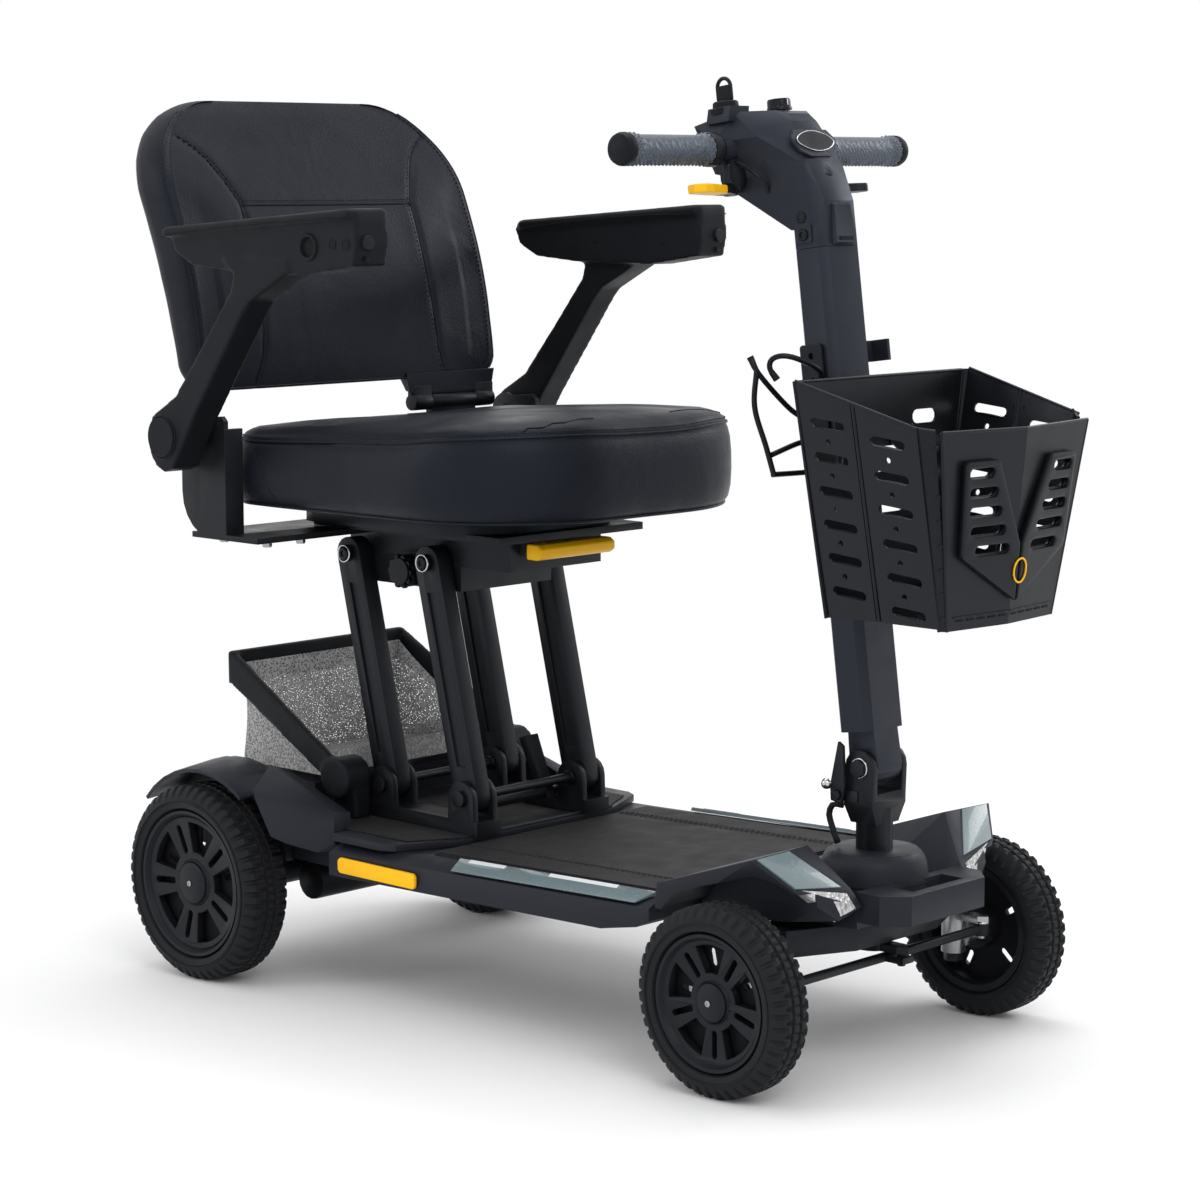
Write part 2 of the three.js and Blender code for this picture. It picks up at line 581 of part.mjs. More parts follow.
// fold latch: a plate on the right of the joint that hooks the post
const latchPlate = build([across([[LATCH_X - 8, LATCH_Z - 6], [LATCH_X + 5, LATCH_Z - 8],
  [LATCH_X + 8, 262], [LATCH_X + 6, 300],
  [LATCH_X, 304], [LATCH_X - 3, 290], [LATCH_X - 9, 262]], -32.6, -28.6)],
[rod([LATCH_X, -40, LATCH_Z], [LATCH_X, -20, LATCH_Z], 4.4, 12)]);
place('fold_latch', latchPlate, black);

// harness loop between the stem and the boss
const loop = tube([[-5, -20, 241], [-15, -22, 241], [-20, -22, 232], [-16, -22, 219], [-9, -22, 204.6]], 3,
  6, true, 9);
place('harness_loop', loop, rubber);

// ---------- basket of folded sheet ----------
const SHEET = 2.4;
const BASKET = {
  rearX: 21, rearLowX: 27, frontX: 159, frontLowX: 155, prowX: 184, prowLowX: 166,
  topHalf: 122, lowHalf: 84, rearTop: 645, frontTop: 609, low: 428,
};

// a flat sheet with holes, drawn in (s, t) and stood on three of its corners
function sheetPanel(origin, run, up, width, height, points, holes) {
  const shape = outline(points(width, height));
  shape.holes = holes.map(outline);
  const solid = new THREE.ExtrudeGeometry(shape, { depth: SHEET, bevelEnabled: false });
  const s = new THREE.Vector3(...run).normalize();
  const n = s.clone().cross(new THREE.Vector3(...up)).normalize();
  const t = n.clone().cross(s);
  return solid.applyMatrix4(new THREE.Matrix4().makeBasis(s, t, n).setPosition(...origin));
}

function slotOutline(s, t, length, height) {
  const end = height / 2;
  return [[s - length / 2 + end * 0.4, t - end], [s + length / 2 - end * 0.4, t - end], [s + length / 2, t],
    [s + length / 2 - end * 0.4, t + end], [s - length / 2 + end * 0.4, t + end], [s - length / 2, t]];
}

// side: from the rear upright forward; its top falls and its foot tucks in
const sideFoot = [BASKET.rearLowX, BASKET.lowHalf, BASKET.low];
const sideLength = BASKET.frontLowX - BASKET.rearLowX;
const sideUp = [0, BASKET.topHalf - BASKET.lowHalf, BASKET.frontTop - BASKET.low];
const sideHeight = Math.hypot(sideUp[1], sideUp[2]);
const rearRise = 1.2; // the rear end of a side stands this much taller than its front
function basketSide() {
  const slots = [];
  for (let row = 0; row < 6; row += 1) {
    for (const s of [34, 92]) slots.push(slotOutline(s - (row - 3) * 0.5, 22 + row * 28, 34, 8));
  }
  return sheetPanel(sideFoot, [1, 0, 0], sideUp, sideLength, sideHeight, (w, h) => [[0, 0], [w - 4, 0],
    [w - 1, h],
    [-4, h * rearRise]], slots);
}
const side = basketSide();
placePair('basket_side', side, black);

const rearPanelPoints = [[-BASKET.lowHalf + 2, 0], [BASKET.lowHalf - 2, 0], [BASKET.topHalf - 1, 216],
  [-BASKET.topHalf + 1, 216]];
const rearPanelHoles = [slotOutline(-62, 176, 34, 12), slotOutline(62, 176, 34, 12),
  slotOutline(0, 96, 60, 12),
  slotOutline(-62, 96, 34, 12), slotOutline(62, 96, 34, 12)];
const rearPanel = sheetPanel([BASKET.rearLowX - 3.2, 0, BASKET.low], [0, 1, 0],
  [BASKET.rearX - BASKET.rearLowX, 0, BASKET.rearTop - BASKET.low], 0, 0, () => rearPanelPoints,
  rearPanelHoles);
place('basket_rear', rearPanel, black);

// front: two wings that meet in a shallow prow
function basketFront() {
  const low = [BASKET.frontLowX + GAP, BASKET.lowHalf, BASKET.low];
  const high = [BASKET.frontX + GAP, BASKET.topHalf, BASKET.frontTop];
  const prowLow = [BASKET.prowLowX, 0, BASKET.low];
  const prowHigh = [BASKET.prowX, 0, BASKET.frontTop - 3];
  const skin = (x) => [
    [low[0] + x, low[1], low[2]], [high[0] + x, high[1], high[2]], [prowLow[0] + x, 0, prowLow[2]],
    [prowHigh[0] + x, 0, prowHigh[2]],
  ];
  const wing = hull([...skin(0), ...skin(SHEET)]);
  const slots = [];
  for (let row = 0; row < 5; row += 1) {
    const z = 560 - row * 15.5;
    slots.push(box(100, 260, 24 - row * 2.4, 66 - row * 1.6, z - 4, z + 4));
  }
  return { wing, slots };
}
const { wing, slots: wingSlots } = basketFront();
const wings = build([wing, mirrored(wing)], [...wingSlots, ...wingSlots.map(mirrored)]);
place('basket_front', wings, black);

const floorOutline = [[BASKET.rearLowX + 1, -BASKET.lowHalf + 4.2], [BASKET.rearLowX + 1,
  BASKET.lowHalf - 4.2],
  [BASKET.frontLowX - 2, BASKET.lowHalf - 4.2], [BASKET.prowLowX - 3, 0], [BASKET.frontLowX - 2,
  -BASKET.lowHalf + 4.2]];
const floorHoles = [-45, 0, 45].flatMap((y) => [60, 115].map((x) => slotOutline(x, y, 36, 10)));
place('basket_floor', standing(floorOutline, BASKET.low + 2, BASKET.low + 2 + SHEET, floorHoles), black);

// ---------- seat frame ----------
function seatBracket() {
  const lug = (x) => [[x + 19, REAR_DECK_TOP + 10], ...arc(x, BAR_LOW_Z, 18, 0, 180, 8),
    [x - 19, REAR_DECK_TOP + 10]];
  const outer = [FRONT_BAR_X, REAR_BAR_X].flatMap((x) => [across(lug(x), 90.6, 97.5),
    across(lug(x), 62.8, 69.4)]);
  const base = box(REAR_BAR_X - 26, FRONT_BAR_X + 24, 62.8, 97.5, REAR_DECK_TOP + GAP, REAR_DECK_TOP + 15);
  const holes = [FRONT_BAR_X, REAR_BAR_X].map((x) => rod([x, 55, BAR_LOW_Z], [x, 105, BAR_LOW_Z], 5.5, 12));
  return build([base, ...outer], holes);
}
placePair('seat_bracket', seatBracket(), black);

function seatLink(x) {
  const halfDepth = BAR_DEPTH / 2;
  const lean = THREE.MathUtils.radToDeg(Math.atan2(-BAR_RUN, BAR_RISE));
  const shape = [...arc(x, BAR_LOW_Z, halfDepth, 180 + lean, 360 + lean, 8),
    ...arc(x + BAR_RUN, BAR_LOW_Z + BAR_RISE, halfDepth, lean, 180 + lean, 8)];
  const half = BAR_WIDTH / 2 - 0.6;
  const bar = across(shape, BAR_Y - half, BAR_Y + half);
  const low = new THREE.Vector3(x + BAR_RUN * 0.13, 0, BAR_LOW_Z + BAR_RISE * 0.13);
  const high = new THREE.Vector3(x + BAR_RUN * 0.87, 0, BAR_LOW_Z + BAR_RISE * 0.87);
  const groove = [[low.x - 6, low.z], [low.x + 6, low.z], [high.x + 6, high.z], [high.x - 6, high.z]];
  const grooves = [across(groove, BAR_Y + half - 2.5, BAR_Y + half + 5), across(groove, BAR_Y - half - 5,
    BAR_Y - half + 2.5)];
  const topHole = rod([x + BAR_RUN, 60, BAR_LOW_Z + BAR_RISE], [x + BAR_RUN, 110, BAR_LOW_Z + BAR_RISE],
    5.5, 12);
  const left = build([bar], [...grooves, topHole]);
  const shaft = rod([x, -101, BAR_LOW_Z], [x, 101, BAR_LOW_Z], 5, 12);
  const heads = [1, -1].map((hand) => rod([x, hand * 98.2, BAR_LOW_Z], [x, hand * 102, BAR_LOW_Z], 8.5, 12));
  return build([left, mirrored(left), shaft, ...heads]);
}
place('seat_bars_front', seatLink(FRONT_BAR_X), black);
place('seat_bars_rear', seatLink(REAR_BAR_X), black);

function rounded(halfWidth, back, front, frontRadius, backRadius) {
  return [
    ...arc(front - frontRadius, halfWidth - frontRadius, frontRadius, 0, 90, 7),
    ...arc(back + backRadius, halfWidth - backRadius, backRadius, 90, 180, 3),
    ...arc(back + backRadius, -halfWidth + backRadius, backRadius, 180, 270, 3),
    ...arc(front - frontRadius, -halfWidth + frontRadius, frontRadius, 270, 360, 7),
  ];
}

const topZ = BAR_LOW_Z + BAR_RISE;
const strapZ = 456;
const strapTop = 462;
const seatPins = [FRONT_BAR_X, REAR_BAR_X].flatMap((x) => [1, -1].flatMap((hand) => [
  rod([x + BAR_RUN, hand * 60, topZ], [x + BAR_RUN, hand * 92, topZ], 5, 12),
  rod([x + BAR_RUN, hand * 90.4, topZ], [x + BAR_RUN, hand * 95, topZ], 9, 12),
]));
place('seat_frame', build([
  box(-640, -472, -66, 66, 404, strapZ - GAP),
  box(-592, -400, -66, 66, 430, strapTop + GAP),
  box(-655, -376, -104, 104, strapTop + GAP, strapTop + 8),
  box(-410, -394, -52, 52, 447, 466),
  standing(rounded(120, -668, -392, 80, 30), strapTop + 6, SEAT_LOW - GAP),
  rod([-547, -78, 420], [-547, -60, 420], 17, 16),
  ...seatPins,
]), black);

const handleOutline = [[-390, 443], [-374, 443], [-368, 447], [-368, 455], [-374, 459], [-390, 459]];
place('seat_release', build([across(handleOutline, -54, 54)]), yellow);

function cushion(points, depth, round) {
  const options = { depth: depth - 2 * round, bevelThickness: round, bevelSize: round, bevelOffset: -round,
    bevelSegments: 2 };
  return new THREE.ExtrudeGeometry(outline(points), options).translate(0, 0, round);
}

const seatPad = cushion(rounded(SEAT_HALF, SEAT_REAR, SEAT_FRONT, 140, 34), SEAT_TOP - SEAT_LOW, 18);
seatPad.translate(0, 0, SEAT_LOW);
const seatPoints = seatPad.attributes.position;
for (let i = 0; i < seatPoints.count; i += 1) {
  const forward = (seatPoints.getX(i) - SEAT_REAR) / (SEAT_FRONT - SEAT_REAR);
  const upward = (seatPoints.getZ(i) - SEAT_LOW) / (SEAT_TOP - SEAT_LOW);
  seatPoints.setZ(i, seatPoints.getZ(i) + SEAT_RISE * forward * upward);
}
place('seat_cushion', seatPad, leather);

// strap under the seat that turns up on both sides to carry the armrests, with the backrest hinge behind
function armStrap() {
  const flat = box(-704, -600, -228, 228, strapZ, strapTop);
  const back = box(-714, -690, 70, 228, strapZ, strapTop);
  const upright = across([[-650, strapZ], [-668, strapZ], ...arc(-672, 503, 47, 262, 180, 5), [-719, 545],
    ...arc(ARM_PIVOT_X, ARM_PIVOT_Z, 21, 160, 60, 4), [-655, 583], [-650, 578]].reverse(), 222, 228);
  const flange = box(-655, -649, 204, 228, strapZ, 570);
  const pivot = rod([ARM_PIVOT_X, 224, ARM_PIVOT_Z], [ARM_PIVOT_X, 258, ARM_PIVOT_Z], 9, 14);
  const backSupport = box(-712, -700, 84, 206, strapZ + 2, 566);
  const knuckleFoot = box(-712, -700, 112.4, 177.6, 560, 578);
  const knuckleBase = rod([-706, 112.4, 578], [-706, 177.6, 578], 9, 12);
  const onBothSides = [upright, flange, pivot];
  const keepOut = box(-592.6, -500, -66.4, 66.4, 400, 500);
  return build([flat, back, ...onBothSides, ...onBothSides.map(mirrored), backSupport, knuckleFoot,
    knuckleBase], [keepOut]);
}
place('arm_strap', armStrap(), black);

// ---------- backrest ----------
// rings of equal point count, one above the other, closed at both ends
function loft(rings) {
  const count = rings[0].length;
  const points = rings.flat();
  const faces = [];
  for (let k = 0; k + 1 < rings.length; k += 1) {
    for (let i = 0; i < count; i += 1) {
      const next = (i + 1) % count;
      const [a, b, c, d] = [k * count + i, k * count + next, (k + 1) * count + next, (k + 1) * count + i];
      faces.push(a, b, c, a, c, d);
    }
  }
  for (let i = 1; i + 1 < count; i += 1) {
    const top = (rings.length - 1) * count;
    faces.push(0, i + 1, i);
    faces.push(top, top + i, top + i + 1);
  }
  const shape = new THREE.BufferGeometry();
  shape.setAttribute('position', new THREE.Float32BufferAttribute(points.flat(), 3));
  shape.setIndex(faces);
  return shape;
}

// the back curves away from the rider, is widest in the middle and rounds over at the top corners
function backRing(z, thin) {
  const front = BACK_X - BACK_CURVE * (z - BACK_LOW - 14) ** 2;
  const rise = Math.max(0, z - (BACK_TOP - BACK_CORNER));
  const half = BACK_HALF - BACK_CORNER + Math.sqrt(Math.max(0, BACK_CORNER ** 2 - rise ** 2));
  const depth = BACK_THICK * thin;
  const rear = front - depth;
  const edge = Math.min(16, depth * 0.4);
  const side = [[front, half - 12], [front - edge, half], [rear + edge, half + 1], [rear, half - 22]];
  return [...side, ...side.map(([x, y]) => [x, -y]).reverse()].map(([x, y]) => [x, y, z]);
}
const backLevels = [[606, 0.35], [612, 0.55], [630, 0.7], [670, 0.84], [720, 0.95], [770, 1], [812, 1],
  [842, 0.94], [868, 0.82],
  [888, 0.62], [900, 0.38]];
const backPad = loft(backLevels.map(([z, thin]) => backRing(z, thin)));
place('seat_back', backPad, leather);
place('back_bracket', build([
  hull([-714, -704].flatMap((x) => [[x, 84, 590], [x, 206, 590]]).concat(
    [-716, -706].flatMap((x) => [[x, 76, BACK_LOW - GAP], [x, 200, BACK_LOW - GAP]]),
  )),
  rod([-706, 84, 578], [-706, 111.6, 578], 9, 12),
  rod([-706, 178.4, 578], [-706, 206, 578], 9, 12),
  box(-711, -701, 84, 111.6, 578, 596),
  box(-711, -701, 178.4, 206, 578, 596),
]), black);

// ---------- armrests ----------
const SOCKET_X = -473; // ringed hole in the side of each armrest
const SOCKET_Z = 758;
function armrest() {
  const low = 233;
  const high = 268;
  const arm = across([[-724, 563], [-721, 545], [-711, 531], [-698, 526], [-685, 530], [-675, 545],
    [-650, 584], [-600, 652],
    [-572, 690], [-560, 703], [-500, 734], [-504, 745], [-600, 745], [-584, 731], [-588, 714], [-631, 661],
    [-664, 622], [-678, 605], [-716, 583]], low, high);
  const cap = rod([ARM_PIVOT_X, high - 1, ARM_PIVOT_Z], [ARM_PIVOT_X, high + 3, ARM_PIVOT_Z], 21, 18);
  const body = hull([224, 266].flatMap((y) => [[-684, y, 768], [-676, y, 750], [-650, y, 737],
    [-590, y, 732], [-480, y, 731],
    [-440, y, 737], [-408, y, 741], [-404, y, 760], [-405, y, 787], [-560, y, 783]]));
  const padOutline = [[-674, 220], [-696, 240], [-697, 262], [-690, 271], [-412, 271], [-406, 265],
    [-406, 225], [-412, 220]];
  const pad = loft([[0, 0.5], [5, 0], [8, 0], [10.5, 3]].map(([up, inset]) => padOutline.map(([x, y]) => {
    const forward = (x + 697) / 291;
    const bow = 21 * Math.sin((forward * Math.PI) / 2);
    return [x + (x < -550 ? inset : -inset), y + (y < 245 ? inset : -inset), 764 + bow + up];
  })).map((ring) => ring.reverse()));
  const bore = rod([ARM_PIVOT_X, 200, ARM_PIVOT_Z], [ARM_PIVOT_X, 260, ARM_PIVOT_Z], 9.5, 14);
  const socket = rod([SOCKET_X, 262, SOCKET_Z], [SOCKET_X, 280, SOCKET_Z], 10, 12);
  return build([arm, cap, body, pad], [bore, socket]);
}
placePair('armrest', armrest(), softBlack);

// ---------- rear bag ----------
const BAG = { frontX: -592, rearX: -768, frontZ: 200, rearZ: 318, frontY: 132, rearY: 122, band: 36 };
function bagRails() {
  const rail = hull([[BAG.frontX, BAG.frontY - 4, BAG.frontZ - 6], [BAG.frontX, BAG.frontY + 5,
    BAG.frontZ - 6],
    [BAG.frontX, BAG.frontY - 4, BAG.frontZ + 22], [BAG.frontX, BAG.frontY + 5, BAG.frontZ + 22],
    [BAG.rearX, BAG.rearY - 4, BAG.rearZ - BAG.band], [BAG.rearX, BAG.rearY + 5, BAG.rearZ - BAG.band],
    [BAG.rearX, BAG.rearY - 4, BAG.rearZ], [BAG.rearX, BAG.rearY + 5, BAG.rearZ]]);
  const pivot = rod([BAG.frontX + 2, 104, BAG.frontZ + 4], [BAG.frontX + 2, BAG.frontY + 6,
    BAG.frontZ + 4], 22, 16);
  const foot = box(BAG.frontX - 18, BAG.frontX + 22, 104, 126, REAR_DECK_TOP + GAP, BAG.frontZ);
  const rearBar = box(BAG.rearX - 6, BAG.rearX + 3, -BAG.rearY - 5, BAG.rearY + 5, BAG.rearZ - BAG.band,
    BAG.rearZ);
  const left = [rail, pivot, foot];
  const keepOut = [box(-660, -607, 100, 130, 150, 197), box(REAR_BAR_X - 27, 0, 60, 98.5, 150, 400)];
  return build([...left, ...left.map(mirrored), rearBar], [...keepOut, ...keepOut.map(mirrored)]);
}
place('bag_frame', bagRails(), softBlack);

function bagShell(inset) {
  const y = BAG.rearY - 5 - inset;
  const low = 197.5 + inset;
  const top = inset ? 60 : 0;
  return hullBothSides([
    [-630 - inset, y + 2, low], [BAG.rearX + 4 + inset, y - 6, low],
    [-630 - inset, y + 2, 222 + top], [BAG.rearX + 4 + inset, y - 2, 306 + top],
  ]);
}
place('rear_bag', build([bagShell(0)], [bagShell(2.6)]), bagMesh);

// ---------- seat latch pedals ----------
const pedal = (y) => hull([[-470, y - 6, 186], [-470, y + 6, 186], [-452, y - 6, 176], [-452, y + 6, 176],
  [-492, y - 9, 236], [-492, y + 9, 236], [-482, y - 9, 240], [-482, y + 9, 240]]);
place('latch_pedals', build([pedal(46), pedal(-46), rod([-462, -60, 181], [-462, 60, 181], 6, 12)]), black);

export default model;
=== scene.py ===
"""Looks of a folding four-wheel travel scooter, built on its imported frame.

Coordinates are written as on the drawing: millimetres, x forward from the front axle, y to the rider's
left, z up from the frame's own ground line. at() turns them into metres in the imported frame.
"""
import math
import bmesh
import bpy
import numpy as np
from mathutils import Matrix, Vector


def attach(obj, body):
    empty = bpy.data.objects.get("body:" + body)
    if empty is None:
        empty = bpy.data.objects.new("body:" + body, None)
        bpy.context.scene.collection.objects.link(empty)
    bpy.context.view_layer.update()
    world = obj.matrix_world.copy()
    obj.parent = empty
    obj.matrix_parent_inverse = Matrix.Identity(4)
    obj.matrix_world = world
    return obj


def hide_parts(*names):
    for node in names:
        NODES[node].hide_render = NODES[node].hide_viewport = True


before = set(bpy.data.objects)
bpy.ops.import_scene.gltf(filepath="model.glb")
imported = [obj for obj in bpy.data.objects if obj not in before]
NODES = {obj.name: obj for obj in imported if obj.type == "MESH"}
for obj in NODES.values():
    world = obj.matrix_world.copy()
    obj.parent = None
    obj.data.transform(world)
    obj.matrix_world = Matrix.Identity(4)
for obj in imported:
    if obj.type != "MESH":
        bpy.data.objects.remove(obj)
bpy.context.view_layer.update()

FRONT_AXLE_X = 309.0  # front axle ahead of the middle of the scooter
TAIL_UP = math.radians(1.29)  # the frame stands a little higher at the tail
TILLER_LEAN = math.radians(7.65)
FOLD_PIVOT = (18, 280)  # (x, z) of the tiller's fold pin, where the tiller's own coordinates start


# ---------- frames of reference ----------
def at(x, y, z):
    """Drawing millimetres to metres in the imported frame."""
    c, s = math.cos(TAIL_UP), math.sin(TAIL_UP)
    return Vector(((x * c + z * s + FRONT_AXLE_X) / 1000, y / 1000, (z * c - x * s) / 1000))


def on_tiller(u, v, w):
    """The same for the leaning tiller: u forward, v left, w up its column from the fold pin."""
    c, s = math.cos(TILLER_LEAN), math.sin(TILLER_LEAN)
    return at(FOLD_PIVOT[0] + u * c - w * s, v, FOLD_PIVOT[1] + u * s + w * c)


def sides():
    """The two hands of a mirrored pair, as a name and the sign of y."""
    return ("left", 1), ("right", -1)


# ---------- materials ----------
def socket(shader, name, value):
    shader.inputs[name].default_value = value


def new_material(name):
    """A material with its node tree, its main shader and the object coordinates."""
    mat = bpy.data.materials.new(name)
    mat.use_nodes = True
    tree = mat.node_tree
    place = tree.nodes.new("ShaderNodeTexCoord").outputs["Object"]
    return mat, tree, tree.nodes["Principled BSDF"], place


def shader_node(tree, kind, values=None, vector=None):
    """A new shader node, with some inputs set by name and its place, if it is a texture."""
    added = tree.nodes.new("ShaderNode" + kind)
    for title, value in (values or {}).items():
        socket(added, title, value)
    if vector:
        tree.links.new(vector, added.inputs["Vector"])
    return added


def bump_from(tree, height, strength, distance, below=None):
    """Raises the surface by a height, on top of another bump if there is one."""
    bump = shader_node(tree, "Bump", {"Strength": strength, "Distance": distance})
    tree.links.new(height, bump.inputs["Height"])
    if below:
        tree.links.new(below.outputs["Normal"], bump.inputs["Normal"])
    tree.links.new(bump.outputs["Normal"], tree.nodes["Principled BSDF"].inputs["Normal"])


def blend_shaders(tree, share, first, second):
    """Shows the first shader where share is 0 and the second where it is 1."""
    blend = shader_node(tree, "MixShader")
    tree.links.new(share, blend.inputs["Fac"])
    tree.links.new(first, blend.inputs[1])
    tree.links.new(second, blend.inputs[2])
    tree.links.new(blend.outputs["Shader"], tree.nodes["Material Output"].inputs["Surface"])


def surface(name, color, rough, metallic=0.0, grain=0.0, grain_size=900.0, mottle=0.12, mottle_size=35.0,
            coat=0.0, rough_spread=0.08, speck=False, specular=0.2, tint=(0.80, 0.87, 1.0), depth=0.0006):
    """A shader with cloudy colour, uneven gloss and a fine bump, so that nothing reads as flat paint."""
    mat, tree, shader, place = new_material(name)
    socket(shader, "Metallic", metallic)
    socket(shader, "Coat Weight", coat)
    socket(shader, "Specular IOR Level", specular)
    socket(shader, "Specular Tint", (*tint, 1.0))
    cloud = shader_node(tree, "TexNoise", {"Scale": mottle_size, "Detail": 5.0}, place)
    tone = shader_node(tree, "Mix")
    tone.data_type = "RGBA"
    dark_socket, light_socket, tone_result = tone.inputs[6], tone.inputs[7], tone.outputs[2]
    dark_socket.default_value = [max(0.0, c * (1 - mottle)) for c in color] + [1]
    light_socket.default_value = [min(1.0, c * (1 + mottle)) for c in color] + [1]
    tree.links.new(cloud.outputs["Fac"], tone.inputs[0])
    tree.links.new(tone_result, shader.inputs["Base Color"])
    gloss = shader_node(tree, "MapRange", {"From Min": 0.3, "From Max": 0.7,
                                           "To Min": max(0.02, rough - rough_spread),
                                           "To Max": min(1.0, rough + rough_spread)})
    tree.links.new(cloud.outputs["Fac"], gloss.inputs["Value"])
    tree.links.new(gloss.outputs["Result"], shader.inputs["Roughness"])
    if grain:
        fine = shader_node(tree, "TexVoronoi" if speck else "TexNoise", {"Scale": grain_size}, place)
        bump_from(tree, fine.outputs["Distance" if speck else "Fac"], grain, depth)
    return mat


def leather_surface(name, color):
    """Leatherette: small pebbles, soft creases and a low sheen."""
    mat = surface(name, color, 0.42, grain=0.35, grain_size=620.0, mottle=0.18, mottle_size=14.0,
                  rough_spread=0.1, speck=True, specular=0.17)
    tree = mat.node_tree
    place = tree.nodes["Texture Coordinate"].outputs["Object"]
    crease = shader_node(tree, "TexNoise", {"Scale": 9.0, "Detail": 2.0, "Distortion": 1.2}, place)
    bump_from(tree, crease.outputs["Fac"], 0.35, 0.006, tree.nodes["Bump"])
    return mat


def mesh_cloth(name):
    """Open knitted mesh: pale threads with gaps that let the light through."""
    mat, tree, shader, place = new_material(name)
    socket(shader, "Roughness", 0.85)
    cells = shader_node(tree, "TexVoronoi", {"Scale": 420.0}, place)
    fold = shader_node(tree, "TexNoise", {"Scale": 14.0}, place)
    ramp = shader_node(tree, "ValToRGB")
    for element, position, grey in zip(ramp.color_ramp.elements, (0.38, 0.62), (0.20, 0.42)):
        element.position = position
        element.color = (grey, grey, grey, 1)
    tree.links.new(cells.outputs["Distance"], ramp.inputs["Fac"])
    tree.links.new(ramp.outputs["Color"], shader.inputs["Base Color"])
    holes = shader_node(tree, "Math")
    holes.operation = "LESS_THAN"
    holes.inputs[1].default_value = 0.24
    tree.links.new(cells.outputs["Distance"], holes.inputs[0])
    clear = shader_node(tree, "BsdfTransparent")
    blend_shaders(tree, holes.outputs["Value"], shader.outputs["BSDF"], clear.outputs["BSDF"])
    bump_from(tree, fold.outputs["Fac"], 0.5, 0.004)
    return mat


def reflector_surface(name, color, scale):
    """Reflective film under a clear skin: a fine honeycomb of tiny prisms."""
    return surface(name, color, 0.25, grain=0.25, grain_size=scale, mottle=0.08, mottle_size=60.0, coat=0.6,
                   rough_spread=0.05, speck=True, specular=0.4, tint=NEUTRAL)


NEUTRAL = (1, 1, 1)
CHARCOAL = surface("charcoal_plastic", (0.0145, 0.0155, 0.0205), 0.44, grain=0.3, grain_size=1500)
POST = surface("post_paint", (0.019, 0.021, 0.029), 0.40, metallic=0.2, grain=0.2, grain_size=1800)
BLACK = surface("powder_coat", (0.008, 0.0085, 0.010), 0.38, grain=0.3, grain_size=1600, mottle=0.2)
BLACK_GLOSS = surface("smooth_black", (0.006, 0.0063, 0.0075), 0.27, grain=0.08, grain_size=1200, mottle=0.2)
SHEET_BLACK = surface("painted_sheet", (0.0052, 0.0055, 0.0068), 0.33, grain=0.10, grain_size=1400, mottle=0.25,
                      mottle_size=22, specular=0.26)
SOFT_BLACK = surface("moulded_black", (0.0075, 0.0080, 0.0095), 0.48, grain=0.35, grain_size=1300, specular=0.12)
MAT_BLACK = surface("deck_mat", (0.022, 0.0205, 0.021), 0.66, grain=0.7, grain_size=700, mottle=0.16, speck=True)
RUBBER = surface("tyre_rubber", (0.009, 0.009, 0.0095), 0.58, grain=0.4, grain_size=900, mottle=0.25)
RIM = surface("wheel_black", (0.008, 0.0083, 0.0095), 0.42, grain=0.2, grain_size=1500)
# the strong mottle, at about the size of the scales, paints the shade between the scales in random patches
GRIP = surface("grip_rubber", (0.060, 0.072, 0.092), 0.36, grain=0.9, grain_size=230, mottle=0.5,
               mottle_size=260, specular=0.5, speck=True)
YELLOW = surface("yellow_plastic", (0.86, 0.46, 0.003), 0.36, grain=0.12, grain_size=1500, mottle=0.06)
TAB_YELLOW = surface("tab_yellow", (0.95, 0.50, 0.004), 0.42, grain=0.2, grain_size=1500, mottle=0.06)
STEEL = surface("plain_steel", (0.36, 0.37, 0.38), 0.3, metallic=0.95, grain=0.25, specular=0.5, tint=NEUTRAL)
BOLT = surface("bright_bolt", (0.52, 0.53, 0.55), 0.2, metallic=1.0, grain=0.1, specular=0.5, tint=NEUTRAL)
REFLECTOR = reflector_surface("reflector_film", (0.15, 0.20, 0.215), 420)
PALE_FILM = reflector_surface("pale_film", (0.72, 0.75, 0.78), 500)
LEATHER = leather_surface("leatherette", (0.0062, 0.0074, 0.0118))
THREAD = surface("thread", (0.02, 0.021, 0.025), 0.7, grain=0.5, grain_size=2500)
CLOTH = mesh_cloth("bag_mesh_cloth")
# near black that paints the shade inside holes, slots, seam grooves and gaps, and deep in the wheels behind the
# spokes
PAINTED_SHADE = surface("painted_recess_shade", (0.004, 0.004, 0.0045), 0.7, grain=0.1)
LENS = surface("headlight_lens", (0.50, 0.50, 0.50), 0.12, metallic=0.3, grain=1.0, grain_size=170, mottle=0.6,
               mottle_size=140, coat=1.0, speck=True, specular=0.5, tint=NEUTRAL, depth=0.004)


# ---------- making pieces ----------
def soft_shade(obj, angle=32.0):
    mesh = obj.data
    for polygon in mesh.polygons:
        polygon.use_smooth = True
    mesh.set_sharp_from_angle(angle=math.radians(angle))


def keep(name, mesh, material, body, stands_for=()):
    obj = bpy.data.objects.new(name, mesh)
    bpy.context.scene.collection.objects.link(obj)
    mesh.materials.clear()
    mesh.materials.append(material)
    if stands_for:
        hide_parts(*stands_for)
    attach(obj, body)
    return obj


def made(name, points, faces, material, body, stands_for=(), angle=32.0):
    mesh = bpy.data.meshes.new(name)
    mesh.from_pydata([tuple(p) for p in points], [], faces)
    mesh.validate()
    mesh.update()
    obj = keep(name, mesh, material, body, stands_for)
    soft_shade(obj, angle)
    return obj


def bevel(obj, width, angle):
    tool = obj.modifiers.new("edges", "BEVEL")
    tool.width = width / 1000
    tool.segments = 2
    tool.limit_method = "ANGLE"
    tool.angle_limit = math.radians(angle)
    tool.harden_normals = True
    tool.use_clamp_overlap = True


